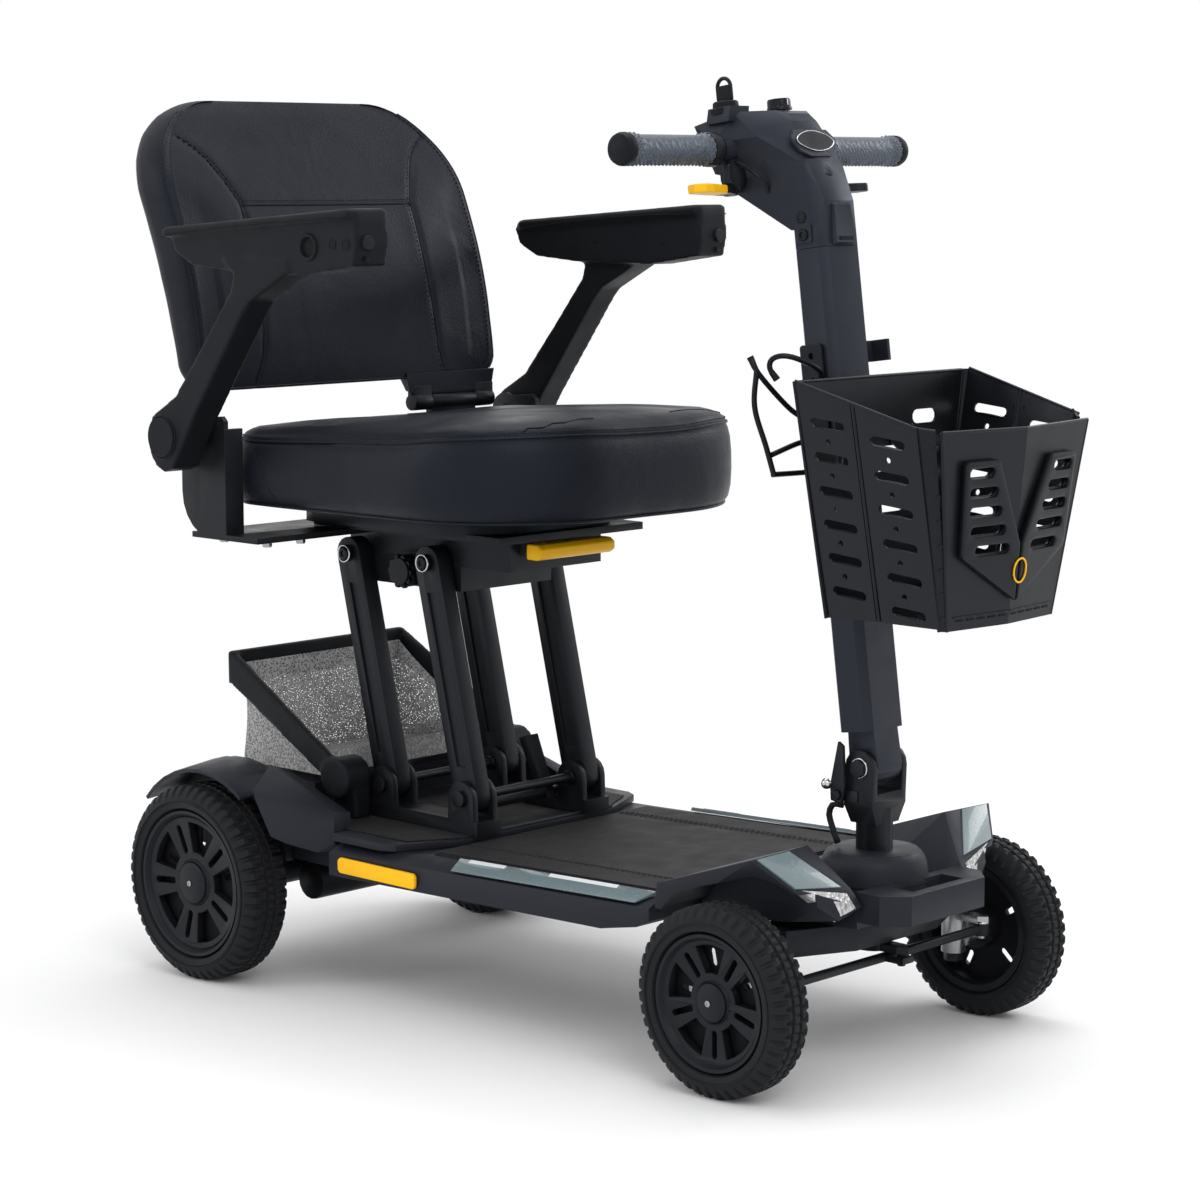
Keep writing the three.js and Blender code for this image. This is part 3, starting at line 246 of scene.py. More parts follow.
def dress(node, material, width=1.0, angle=32.0, flat=1.0):
    """A CAD node keeps its shape and gets its material and softened edges."""
    obj = NODES[node]
    obj.data.materials.clear()
    obj.data.materials.append(material)
    weld = obj.modifiers.new("weld", "WELD")
    weld.merge_threshold = 0.00002
    if flat:
        merge = obj.modifiers.new("flat_faces", "DECIMATE")
        merge.decimate_type = "DISSOLVE"
        merge.angle_limit = math.radians(flat)
    soft_shade(obj, angle)
    if width:
        bevel(obj, width, angle)


def grid_faces(rows, across, closed=False, wrapped=True, first=0):
    """Quads over rows of points; closed joins the last row to the first, wrapped joins the ends of a row."""
    faces = []
    for r in range(rows if closed else rows - 1):
        low, high = first + r * across, first + (r + 1) % rows * across
        for k in range(across if wrapped else across - 1):
            n = (k + 1) % across
            faces.append((low + k, low + n, high + n, high + k))
    return faces


def lids(rows, across):
    """The faces that close the first and the last row."""
    return [tuple(reversed(range(across))), tuple(range((rows - 1) * across, rows * across))]


def gather(parts):
    """Several small meshes as one."""
    points, faces = [], []
    for part_points, part_faces in parts:
        base = len(points)
        points += part_points
        faces += [tuple(base + i for i in face) for face in part_faces]
    return points, faces


def tube_mesh(path, radius, sides=10, closed=False):
    """Points and faces of a round tube along world points."""
    count = len(path)
    points = []
    side = None
    for i, p in enumerate(path):
        ahead = path[(i + 1) % count] if closed or i + 1 < count else path[i]
        behind = path[(i - 1) % count] if closed or i > 0 else path[i]
        direction = (ahead - behind).normalized()
        if side is None:
            side = direction.orthogonal().normalized()
        side = (side - direction * side.dot(direction)).normalized()
        up = direction.cross(side)
        r = radius[i] if isinstance(radius, (list, tuple)) else radius
        for k in range(sides):
            a = 2 * math.pi * k / sides
            points.append(p + (side * math.cos(a) + up * math.sin(a)) * r)
    return points, grid_faces(count, sides, closed) + ([] if closed else lids(count, sides))


def tube(name, path, radius_mm, material, body, sides=10, closed=False, stands_for=()):
    """A round bar, bead or cable; radius_mm is one radius or one for each point."""
    r = [v / 1000 for v in radius_mm] if isinstance(radius_mm, (list, tuple)) else radius_mm / 1000
    points, faces = tube_mesh(path, r, sides, closed)
    return made(name, points, faces, material, body, stands_for, 50)


def smooth_path(points, steps=8):
    """Catmull-Rom through the points."""
    pts = [Vector(p) for p in points]
    ends = [pts[0] * 2 - pts[1]] + pts + [pts[-1] * 2 - pts[-2]]
    out = []
    for i in range(1, len(ends) - 2):
        p0, p1, p2, p3 = ends[i - 1:i + 3]
        for k in range(steps):
            t = k / steps
            out.append(0.5 * ((2 * p1) + (p2 - p0) * t + (2 * p0 - 5 * p1 + 4 * p2 - p3) * t * t
                              + (3 * p1 - p0 - 3 * p2 + p3) * t ** 3))
    out.append(pts[-1])
    return out


def lathe(name, profile, origin, axis, material, body, steps=48):
    """A turned shape: (radius, height) in mm from end to end, from a place in metres along a direction."""
    axis = Vector(axis).normalized()
    a = axis.orthogonal().normalized()
    b = axis.cross(a)
    points = []
    for r, h in profile:
        for k in range(steps):
            t = 2 * math.pi * k / steps
            spoke = a * math.cos(t) + b * math.sin(t)
            points.append(origin + axis * (h / 1000) + spoke * (max(r, 0.01) / 1000))
    faces = grid_faces(len(profile), steps) + lids(len(profile), steps)
    return made(name, points, faces, material, body, (), 35)


def plate(name, outline, holes, thick, to_world, material, body, stands_for=(), edge=0.3, bulge=None):
    """A sheet with holes: outline in (s, t); to_world(s, t, n) gives the place, with n over 0..thick."""
    curve = bpy.data.curves.new(name, "CURVE")
    curve.dimensions = "2D"
    curve.fill_mode = "BOTH"
    curve.extrude = max(0.0, thick / 2 - edge)
    curve.bevel_depth = edge
    curve.bevel_resolution = 1
    curve.offset = -edge
    for loop in [outline] + list(holes):
        spline = curve.splines.new("POLY")
        spline.points.add(len(loop) - 1)
        for point, (s, t) in zip(spline.points, loop):
            point.co = (s, t, 0, 1)
        spline.use_cyclic_u = True
    holder = bpy.data.objects.new(name + "_curve", curve)
    bpy.context.scene.collection.objects.link(holder)
    bpy.context.view_layer.update()
    mesh = bpy.data.meshes.new_from_object(holder.evaluated_get(bpy.context.evaluated_depsgraph_get()))
    bpy.data.objects.remove(holder)
    for vertex in mesh.vertices:
        s, t, n = vertex.co
        vertex.co = to_world(s, t, n + thick / 2 + (bulge(s, t) if bulge else 0))
    mesh.name = name
    fix = bmesh.new()
    fix.from_mesh(mesh)
    bmesh.ops.remove_doubles(fix, verts=fix.verts, dist=0.00001)
    bmesh.ops.recalc_face_normals(fix, faces=fix.faces)
    fix.to_mesh(mesh)
    fix.free()
    obj = keep(name, mesh, material, body, stands_for)
    soft_shade(obj, 40)
    even = obj.modifiers.new("flat_faces", "WEIGHTED_NORMAL")
    even.keep_sharp = True
    even.weight = 100


def slot_hole(s, t, length, height, lean=0.0, steps=5):
    """A round-ended slot, turned by lean radians."""
    r = height / 2
    half = length / 2 - r
    points = []
    for centre, start in ((half, -90), (-half, 90)):
        for k in range(steps + 1):
            a = math.radians(start + 180 * k / steps)
            points.append((centre + r * math.cos(a), r * math.sin(a)))
    c, d = math.cos(lean), math.sin(lean)
    return [(s + x * c - y * d, t + x * d + y * c) for x, y in points]


def round_hole(s, t, radius, steps=14):
    turns = [2 * math.pi * k / steps for k in range(steps)]
    return [(s + radius * math.cos(a), t + radius * math.sin(a)) for a in turns]


def bolt(name, place, axis, radius, height, body, material=BOLT, hexagon=False):
    """A small bolt head with a socket, standing on place along axis."""
    inner = radius * 0.5
    profile = [(radius, -0.6), (radius, height * 0.7), (radius * 0.85, height), (inner, height),
               (inner * 0.9, height * 0.45)]
    lathe(name, profile, place, axis, material, body, 6 if hexagon else 24)


# ---------- wheels ----------
def wheel_axes(side):
    """(across the wheel outward, up, forward) for a wheel on that side; the wheel stands square to y."""
    return Vector((0, side, 0)), Vector((0, 0, 1)), Vector((1, 0, 0))


def tread_tyre(name, centre, side, r, rim, width, body, node, blocks):
    """A solid tyre with shoulder lugs, two grooves round the crown and offset rows of blocks."""
    out, up, ahead = wheel_axes(side)
    half = width / 2
    wall = [(rim + 0.4, half - 7), (rim + 2.5, half - 2.2), (rim + 8, half - 0.6), (r - 17, half),
            (r - 10, half - 1.0), (r - 6, half - 3), (r - 3, half - 6)]
    crown_row = [-half + 8.5, -half + 13, -7.2, -6, -4.4, -3.2, 3.2, 4.4, 6, 7.2, half - 13, half - 8.5]
    section = [(radius, -h) for radius, h in wall] + [(r, h) for h in crown_row] + wall[::-1]
    steps = blocks * 6
    points = []
    for k in range(steps):
        a = 2 * math.pi * k / steps
        for radius, h in section:
            cut = 0.0
            outer = abs(h)
            crown = 1 - (outer / half) ** 4 * 0.035 if radius > r - 1 else 1
            phase = (k + (3 if 5 < outer < 14 else 0)) % 6
            if radius > r - 11:
                if outer > half - 14 and phase in (0, 1):
                    cut = 3.2 if radius > r - 7 else 1.6
                elif 5 < outer <= half - 13 and phase == 0:
                    cut = 2.2
                if 3.8 < outer < 6.5 and radius > r - 1:
                    cut = max(cut, 2.6)
                if outer < 4 and k % 4 == 0:
                    cut = max(cut, 1.6)
            rr = (radius * crown - cut) / 1000
            points.append(centre + out * (h / 1000) + (ahead * math.cos(a) + up * math.sin(a)) * rr)
    faces = grid_faces(steps, len(section), closed=True)
    if side < 0:
        faces = [tuple(reversed(f)) for f in faces]
    made(name, points, faces, RUBBER, body, (node,), 28)
    turns = [2 * math.pi * k / 90 for k in range(90)]
    for step, (radius, proud) in enumerate([(rim + 9, half - 0.2), (r - 15, half + 0.2)]):
        bead = [centre + out * (proud / 1000) + (ahead * math.cos(t) + up * math.sin(t)) * (radius / 1000)
                for t in turns]
        tube(f"{name}_ring_{step}", bead, 0.7, RUBBER, body, 6, True)


def spoked_rim(name, centre, side, rim, width, body, node, turn):
    """A moulded wheel: five split spokes round a capped hub, a stepped lip and a deep barrel."""
    out, up, ahead = wheel_axes(side)
    half = width / 2 - 5

    def to_world(s, t, n):
        return centre + ahead * (s / 1000) + up * (t / 1000) + out * (n / 1000)

    hub = rim * 0.29
    holes = []
    for i in range(5):
        mid = math.radians(i * 72 + turn)
        gap = []
        for k in range(9):
            a = mid + math.radians(-19 + 38 * k / 8)
            gap.append((rim * 0.82 * math.cos(a), rim * 0.82 * math.sin(a)))
        for k in range(5):
            a = mid + math.radians(15 - 30 * k / 4)
            gap.append((rim * 0.42 * math.cos(a), rim * 0.42 * math.sin(a)))
        holes.append(gap)
        spoke = math.radians(i * 72 + 36 + turn)
        mid_r = rim * 0.61
        holes.append(slot_hole(mid_r * math.cos(spoke), mid_r * math.sin(spoke), rim * 0.40, rim * 0.085, spoke))

    def dish(s, t):
        """The face dips from the lip to the hub."""
        d = math.hypot(s, t) / rim
        return -4.0 * math.sin(min(1.0, max(0.0, (d - 0.25) / 0.65)) * math.pi)

    disc_outline = round_hole(0, 0, rim * 0.9, 72)
    base = half - 12

    def disc_world(s, t, n):
        return to_world(s, t, base + n)

    def shade_plate_world(s, t, n):
        return to_world(s, t, base - 7 + n)

    plate(name, disc_outline, holes, 9.0, disc_world, RIM, body, (node,), 0.9, dish)
    slits = []
    for i in range(5):
        mid = math.radians(i * 72 + turn + 9)
        slits.append(slot_hole(rim * 0.62 * math.cos(mid), rim * 0.62 * math.sin(mid), rim * 0.26, rim * 0.09, mid))
    # a near-black plate with five openings behind the spokes: painted shade deep inside the wheel
    plate(name + "_shade_plate", disc_outline, slits, 2.5, shade_plate_world, PAINTED_SHADE, body, (), 0.3)
    inner = rim - 7
    barrel = [(inner - 3, -half + 4), (inner, -half), (rim, -half), (rim, half - 0.5), (rim - 0.8, half + 1.5),
              (rim - 4, half + 1.0), (inner - 0.5, half - 4), (rim * 0.885, half - 6.5), (rim * 0.85, half - 5.5),
              (rim * 0.84, half - 9), (inner - 3, half - 14)]
    steps = 72
    points = []
    for r, h in barrel:
        for k in range(steps):
            a = 2 * math.pi * k / steps
            points.append(to_world(r * math.cos(a), r * math.sin(a), h))
    faces = [(a, d, c, b) if side > 0 else (b, c, d, a)
             for a, b, c, d in grid_faces(len(barrel), steps, closed=True)]
    made(name + "_barrel", points, faces, RIM, body, (), 35)
    cap = [(hub * 1.15, -half + 4), (hub * 1.2, half - 12), (hub * 1.12, half - 6), (hub * 1.02, half - 4),
           (hub * 0.98, half - 4.6), (hub * 0.95, half - 2.4), (hub * 0.8, half - 0.6), (hub * 0.5, half + 0.6),
           (0, half + 1)]
    lathe(name + "_hub", cap, centre, out, RIM, body)


FRONT = {"r": 89.0, "rim": 64.0, "width": 48.0, "y": 196.0, "x": 0.0, "z": 89.0, "blocks": 44, "turn": 20}
REAR = {"r": 103.7, "rim": 78.0, "width": 58.0, "y": 205.5, "x": -716.0, "z": 87.6, "blocks": 50, "turn": 4}
for end, spec in (("front", FRONT), ("rear", REAR)):
    for word, side in sides():
        wheel = f"{end}_wheel_{word}"
        centre = at(spec["x"], side * spec["y"], spec["z"])
        rim, width = spec["rim"], spec["width"]
        tread_tyre(f"{wheel}_tread", centre, side, spec["r"], rim, width, wheel, wheel + "_tyre", spec["blocks"])
        spoked_rim(f"{wheel}_spokes", centre, side, rim, width, wheel, wheel + "_rim", spec["turn"])

# ---------- CAD pieces that keep their shape ----------
for material, width, nodes in (
        (CHARCOAL, 1.5, ["deck_frame"]), (CHARCOAL, 2.0, ["rear_deck"]), (BLACK, 1.0, ["drive_axle"]),
        (CHARCOAL, 1.2, ["rear_fender_left", "rear_fender_right"]),
        (REFLECTOR, 0.4, ["side_reflector_left", "side_reflector_right"]),
        (TAB_YELLOW, 1.4, ["side_grip_left", "side_grip_right"]),
        (REFLECTOR, 0.5, ["fender_reflector_left", "fender_reflector_right"]),
        (LENS, 0.4, ["headlight_left", "headlight_right"]), (BLACK, 1.0, ["front_axle_beam"]),
        (STEEL, 0.7, ["steering_knuckle_left", "steering_knuckle_right"]), (BLACK, 0.5, ["tie_rod"]),
        (BLACK, 1.0, ["steering_stem", "seat_frame", "back_bracket"]), (BLACK, 1.2, ["latch_pedals"]),
        (BLACK, 0.8, ["fold_latch", "seat_bracket_left", "seat_bracket_right", "seat_bars_front",
                      "seat_bars_rear", "arm_strap"]), (YELLOW, 2.0, ["seat_release"])):
    for cad_node in nodes:
        dress(cad_node, material, width)
dress("harness_loop", RUBBER, 0, 60, 0)
FACET_ANGLE = 9  # these three are faceted, so shallow folds stay sharp
for cad_node, material, width in (
        ("front_shroud", CHARCOAL, 1.3), ("tiller_post", POST, 0.9), ("tiller_console", POST, 0.7)):
    dress(cad_node, material, width, FACET_ANGLE, 0.6)


def moulded(name, node, material, body, voxel, passes):
    """The CAD node's shape as one soft-edged moulding."""
    obj = keep(name, NODES[node].data.copy(), material, body, (node,))
    weld = obj.modifiers.new("weld", "WELD")
    weld.merge_threshold = 0.00002
    skin = obj.modifiers.new("skin", "REMESH")
    skin.mode = "VOXEL"
    skin.voxel_size = voxel / 1000
    skin.use_smooth_shade = True
    soft = obj.modifiers.new("soft", "SMOOTH")
    soft.factor = 0.5
    soft.iterations = passes
    bpy.context.view_layer.update()
    mesh = bpy.data.meshes.new_from_object(obj.evaluated_get(bpy.context.evaluated_depsgraph_get()))
    obj.modifiers.clear()
    obj.data = mesh
    mesh.materials.clear()
    mesh.materials.append(material)
    soft_shade(obj, 60)
    return obj


for word, side in sides():
    moulded(f"armrest_moulding_{word}", f"armrest_{word}", SOFT_BLACK, f"armrest_{word}", 2.0, 8)
moulded("bag_rails", "bag_frame", SOFT_BLACK, "chassis", 2.4, 5)
paddle = moulded("drive_paddle_blade", "drive_paddle", BLACK, "drive_paddle", 1.0, 4)
paddle.data.materials.append(YELLOW)
YELLOW_FROM = 0.074  # the paddle is yellow from here outwards, in metres
for polygon in paddle.data.polygons:
    polygon.material_index = 1 if abs(polygon.center.y) > YELLOW_FROM else 0
moulded("reverse_paddle_blade", "reverse_paddle", BLACK, "reverse_paddle", 1.0, 4)


# ---------- cushions ----------
CLOTH_FRAMES = 20


def puff(obj, pressure, cap, shrink, bend, hold, calm, give=None):
    """Blows the skin out a little with cloth simulation, then evens the movement out over calm passes."""
    mesh = obj.data
    start = [v.co.copy() for v in mesh.vertices]
    group = obj.vertex_groups.new(name="held")
    for v in mesh.vertices:
        group.add([v.index], hold(v.co), "REPLACE")
    cloth = obj.modifiers.new("cloth", "CLOTH")
    settings = cloth.settings
    settings.quality = 5
    settings.use_pressure = True
    settings.uniform_pressure_force = pressure
    settings.effector_weights.gravity = 0.0
    settings.mass = 0.3
    settings.tension_stiffness = 25
    settings.compression_stiffness = 25
    settings.shear_stiffness = 8
    settings.bending_stiffness = bend
    settings.shrink_min = shrink
    settings.vertex_group_mass = "held"
    cloth.collision_settings.use_collision = False
    cloth.point_cache.frame_start = 1
    cloth.point_cache.frame_end = CLOTH_FRAMES
    scene = bpy.context.scene
    for frame_number in range(1, CLOTH_FRAMES + 1):
        scene.frame_set(frame_number)
    result = obj.evaluated_get(bpy.context.evaluated_depsgraph_get()).data
    moved = [v.co.copy() for v in result.vertices]
    obj.modifiers.remove(cloth)
    obj.vertex_groups.clear()
    scene.frame_set(1)
    steps = np.array([tuple(b - a) for a, b in zip(start, moved)])
    length = np.maximum(np.linalg.norm(steps, axis=1), 1e-9)
    steps *= np.minimum(1.0, cap / length)[:, None]
    edges = np.array([tuple(e.vertices) for e in mesh.edges])
    share = np.bincount(edges.ravel(), minlength=len(steps))[:, None]
    for _ in range(calm):
        total = np.zeros_like(steps)
        np.add.at(total, edges[:, 0], steps[edges[:, 1]])
        np.add.at(total, edges[:, 1], steps[edges[:, 0]])
        steps = 0.4 * steps + 0.6 * total / share
    for v, a, step in zip(mesh.vertices, start, steps):
        v.co = a + Vector(step) * (give(a) if give else 1.0)
    mesh.update()


def local_of(point):
    """World metres back to the drawing's millimetres."""
    c, s = math.cos(TAIL_UP), math.sin(TAIL_UP)
    x, z = point.x * 1000 - FRONT_AXLE_X, point.z * 1000
    return Vector((x * c - z * s, point.y * 1000, x * s + z * c))


def onto(obj, point, lift=0.0):
    """The nearest place on a piece's skin, lifted by some millimetres."""
    found, place, normal, _ = obj.closest_point_on_mesh(point)
    return place + normal * (lift / 1000) if found else point


def rounded_outline(half, back, front, front_radius, back_radius, steps=12):
    """A loop of (x, y) points, evenly spaced, with rounded corners."""
    corners = [(front - front_radius, half - front_radius, front_radius, 0),
               (back + back_radius, half - back_radius, back_radius, 90),
               (back + back_radius, -half + back_radius, back_radius, 180),
               (front - front_radius, -half + front_radius, front_radius, 270)]
    loop = []
    for cx, cy, r, start in corners:
        for k in range(steps + 1):
            a = math.radians(start + 90 * k / steps)
            loop.append(Vector((cx + r * math.cos(a), cy + r * math.sin(a))))
    return even_loop(loop, 160)


def even_loop(loop, count):
    """The closed loop again, with its points the same distance apart."""
    lengths = [0.0]
    for i, p in enumerate(loop):
        lengths.append(lengths[-1] + (loop[(i + 1) % len(loop)] - p).length)
    total = lengths[-1]
    out, i = [], 0
    for k in range(count):
        d = total * k / count
        while lengths[i + 1] < d:
            i += 1
        span = lengths[i + 1] - lengths[i]
        t = (d - lengths[i]) / span if span else 0
        out.append(loop[i].lerp(loop[(i + 1) % len(loop)], t))
    return out


def inset_loop(loop, distance):
    """Moves each point of a loop inwards."""
    count = len(loop)
    out = []
    for i, p in enumerate(loop):
        d = (loop[(i + 1) % count] - loop[i - 1]).normalized()
        out.append(p + Vector((-d.y, d.x)) * distance)
    return out


SEAT_REAR, SEAT_FRONT = -690, -265
SEAT_LOW = 487.0
SEAT_LOOP = rounded_outline(203, SEAT_REAR, SEAT_FRONT, 140, 44)
SEAT_CENTRE = Vector((-490, 0))


def seat_top(x):
    """Height of the seat's top edge, which rises from the rear to the front."""
    forward = (x - SEAT_REAR) / (SEAT_FRONT - SEAT_REAR)
    return 572 + 24 * max(0.0, min(1.0, forward))


def seat_cushion():
    """Side walls that bulge between two seams, a welt round the top and a crowned top."""
    rows = [(30, 0.0), (13, 0.0), (7, 0.025), (2.5, 0.09), (0.0, 0.2), (-1.2, 0.38), (-1.2, 0.56), (-0.2, 0.72),
            (1.6, 0.82), (3.2, 0.87), (1.8, 0.885), (2.6, 0.93), (6.5, 0.975), (12, 1.0), (20, 1.015)]
    points = []
    count = len(SEAT_LOOP)
    for inset, level in rows:
        for i, p in enumerate(inset_loop(SEAT_LOOP, inset)):
            height = SEAT_LOW + 4 + (seat_top(p.x) - SEAT_LOW - 10) * level
            ripple = abs(math.sin(6.283 * i / count * 7)) * 0.8 if 0.1 < level < 0.8 else 0
            points.append(at(p.x, p.y, height + ripple * 0.4))
    last = inset_loop(SEAT_LOOP, 20)
    rings = [0.9, 0.8, 0.68, 0.55, 0.42, 0.28, 0.14]
    for scale in rings:
        for p in last:
            q = SEAT_CENTRE + (p - SEAT_CENTRE) * scale
            top = seat_top(q.x) - 6 + 1.3
            dome = 4.5 * (1 - scale ** 2)
            dip = 5.5 * math.exp(-((q.x + 560) / 110) ** 2 - (q.y / 120) ** 2)
            points.append(at(q.x, q.y, top + dome - dip))
    total_rows = len(rows) + len(rings)
    return points, grid_faces(total_rows, count) + lids(total_rows, count)


seat_points, seat_faces = seat_cushion()
seat = made("seat_cushion_leather", seat_points, seat_faces, LEATHER, "seat", ("seat_cushion",), 60)


def held_by_board(place):
    """The cushion's foot is stapled to its board."""
    return 1.0 if local_of(place).z < SEAT_LOW + 12 else 0.0


puff(seat, pressure=4.0, cap=0.006, shrink=-0.006, bend=3.0, hold=held_by_board, calm=12)
soft_shade(seat, 60)


def seat_row(row, lift):
    """A closed row of the cushion's skin, from below upwards."""
    count = len(SEAT_LOOP)
    path = []
    for k in range(count):
        vertex = seat.data.vertices[row * count + k]
        path.append(vertex.co + vertex.normal * (lift / 1000))
    return path


tube("seat_top_welt", seat_row(10, 0.6), 1.3, LEATHER, "seat", 8, True)
tube("seat_low_welt", seat_row(2, 0.3), 1.5, LEATHER, "seat", 8, True)


STITCH = 0.0052  # from one stitch to the next, in metres


def stitches(name, path, body, spacing=STITCH, length=0.0032, radius=0.00045):
    """Short thread dashes along a path, as one piece."""
    dashes = []
    walked, due = 0.0, 0.0
    for a, b in zip(path, path[1:]):
        span = (b - a).length
        if span == 0:
            continue
        direction = (b - a) / span
        while due < walked + span:
            start = a + direction * (due - walked)
            dashes.append(tube_mesh([start, start + direction * length], radius, 5))
            due += spacing
        walked += span
    made(name, *gather(dashes), THREAD, body, (), 60)


stitches("seat_top_stitches", seat_row(11, 0.5), "seat")
for word, side in sides():
    front_seam = [onto(seat, at(-292 - 0.1 * (side * y), side * y, 620), 0.3) for y in range(60, 178, 3)]
    side_seam = [onto(seat, at(-640 + 0.62 * (558 - z), side * 215, z), 0.3) for z in range(556, 492, -2)]
    for label, seam in (("front", front_seam), ("side", side_seam)):
        tube(f"seat_{label}_seam_{word}", seam, 0.6, LEATHER, "seat", 6)


# backrest: as wide and as curved as on the drawing, with side panels, piping and seams
BACK_X, BACK_LOW, BACK_TOP = -703.0, 606.0, 905.0
BACK_CURVE = 0.001265  # how fast the back leans away with the square of the height
BACK_HALF, BACK_THICK = 217.5, 64
TOP_CORNER, FOOT_CORNER = 105.0, 22
SEAM_Z = 795.0  # the seam across the back


def back_front_x(z):
    return BACK_X - BACK_CURVE * (z - BACK_LOW - 14) ** 2


def back_half(z):
    """Half the width of the back, rounded at the top corners and a little at the foot."""
    rise = max(0.0, z - (BACK_TOP - TOP_CORNER))
    foot = max(0.0, BACK_LOW + FOOT_CORNER - z)
    half = BACK_HALF - TOP_CORNER + math.sqrt(max(0.0, TOP_CORNER ** 2 - rise ** 2))
    return half - (FOOT_CORNER - math.sqrt(max(0.0, FOOT_CORNER ** 2 - foot ** 2)))


def thickness(z):
    """How deep the pad is: thin at both ends and full in the middle."""
    levels = [(606, 0.3), (612, 0.52), (630, 0.7), (670, 0.84), (720, 0.95), (770, 1.0), (812, 1.0), (842, 0.94),
              (868, 0.82), (888, 0.62), (900, 0.38), (905, 0.2)]
    for (z0, t0), (z1, t1) in zip(levels, levels[1:]):
        if z <= z1:
            k = (z - z0) / (z1 - z0)
            return BACK_THICK * (t0 + (t1 - t0) * k)
    return BACK_THICK * levels[-1][1]


def seam_y(z):
    """Where the panel seam runs: up the front, then out to the top corner in an arc."""
    marks = [(606, 138), (640, 126), (700, 121), (797, 122), (820, 133), (843, 146), (857, 160), (872, 181),
             (884, 198)]
    for (z0, y0), (z1, y1) in zip(marks, marks[1:]):
        if z <= z1:
            k = max(0.0, (z - z0) / (z1 - z0))
            return y0 + (y1 - y0) * k
    return 400.0  # past the edge: no seam


def back_point(z, around):
    """A place on the back: around is its share of the half width, and its share of the depth."""
    front = back_front_x(z)
    half = back_half(z)
    deep = thickness(z)
    side, depth = around
    seam = abs(side) * half
    x = front - depth * deep
    if depth < 0.02:
        belly = 6.0 * (1 - (seam / (half * 0.8)) ** 2) if seam < half * 0.8 else 0
        lumbar = math.exp(-((z - 700) / 60) ** 2)
        x += belly * 0.35 + 2.5 * lumbar * (1 if seam < half * 0.8 else 0) - 2.5
        line = seam_y(z)
        x -= 2.6 * math.exp(-((seam - line) / 3.2) ** 2)
        x -= 2.4 * math.exp(-((z - SEAM_Z) / 2.8) ** 2) * (1 if seam < line else 0)
    return at(x, side * half, z)


def backrest():
    """Rings round the pad, each one above the other."""
    section = [(k / 56 * 0.93, 0.0) for k in range(57)]
    rim = [(0.955, 0.03), (0.972, 0.08), (0.986, 0.16), (0.996, 0.28), (1.0, 0.42), (1.002, 0.58), (0.996, 0.72),
           (0.975, 0.84), (0.94, 0.93), (0.88, 0.98), (0.8, 1.0), (0.6, 1.0), (0.4, 1.0), (0.2, 1.0)]
    left_half = section + rim + [(0.0, 1.0)]
    loop = left_half + [(-s, d) for s, d in reversed(left_half[1:-1])]
    levels = [BACK_LOW, 607, 609, 612, 617, 624] + [630 + 4 * k for k in range(61)]
    levels = [z for z in levels if z < 874] + [876, 882, 888, 893, 897, 900.5, 903, 904.6, 905]
    points = [back_point(z, around) for z in levels for around in loop]
    return points, grid_faces(len(levels), len(loop)) + lids(len(levels), len(loop))


back_points, back_faces = backrest()
back = made("seat_back_leather", back_points, back_faces, LEATHER, "backrest", ("seat_back",), 60)


def held_by_seams(place):
    """Seams, the rear board and the rim don't give."""
    p = local_of(place)
    front = back_front_x(p.z)
    if p.x < front - 12:
        return 1.0
    seam = seam_y(p.z)
    if abs(abs(p.y) - seam) < 4.5 or (abs(p.z - SEAM_Z) < 4.5 and abs(p.y) < seam):
        return 1.0
    return 0.0


def back_give(place):
    """How far the skin may follow: least along the top and bottom hems."""
    z = local_of(place).z
    return max(0.0, min(1.0, (z - 625) / 40)) * max(0.0, min(1.0, (890 - z) / 30))


puff(back, pressure=1.5, cap=0.0025, shrink=0.0, bend=6.0, hold=held_by_seams, calm=30, give=back_give)
soft_shade(back, 60)


def back_skin(z, share, depth=0.0, lift=0.3):
    return onto(back, back_point(z, (share, depth)), lift)


def seam_share(z):
    return seam_y(z) / back_half(z)


for word, side in sides():
    edge = [back_skin(z, side * 0.968, 0.072, 0.2) for z in range(612, 898, 6)]
    tube(f"back_welt_{word}", edge, 1.2, LEATHER, "backrest", 8)
    for share, depth, name in ((0.94, 0.018, "inner"), (0.982, 0.135, "outer")):
        line = [back_skin(z, side * share, depth) for z in range(616, 894, 4)]
        stitches(f"back_stitches_{name}_{word}", line, "backrest")
    # a near-black line in the seam's groove: painted shade
    seam = [back_skin(z, side * seam_share(z), 0.0, 0.0) for z in range(612, 872, 4)]
    tube(f"back_panel_seam_{word}", seam, 0.8, PAINTED_SHADE, "backrest", 6)
    line = [back_skin(z, side * (seam_share(z) - 5 / back_half(z))) for z in range(612, 870, 3)]
    stitches(f"back_stitches_panel_{word}", line, "backrest")
    base = [back_point(607, (side * k / 40, 0.0)) + Vector((-0.001, 0, -0.0008)) for k in range(0, 38)]
    tube(f"back_piping_{word}", base, 1.8, LEATHER, "backrest", 8)
shares = [-0.56 + 1.12 * k / 60 for k in range(61)]
# a near-black line in the cross seam's groove: painted shade
tube("back_cross_seam", [back_skin(SEAM_Z, share, 0.0, 0.0) for share in shares], 0.8, PAINTED_SHADE, "backrest", 6)
stitches("back_stitches_across", [back_skin(SEAM_Z + 5, share) for share in shares], "backrest")


# ---------- small hardware ----------
def ring(name, centre, axis, radius, thick, material, body):
    """A thin ring round an axis."""
    axis = Vector(axis).normalized()
    a = axis.orthogonal().normalized()
    b = axis.cross(a)
    turns = [2 * math.pi * k / 40 for k in range(40)]
    path = [centre + (a * math.cos(t) + b * math.sin(t)) * (radius / 1000) for t in turns]
    tube(name, path, thick, material, body, 8, True)


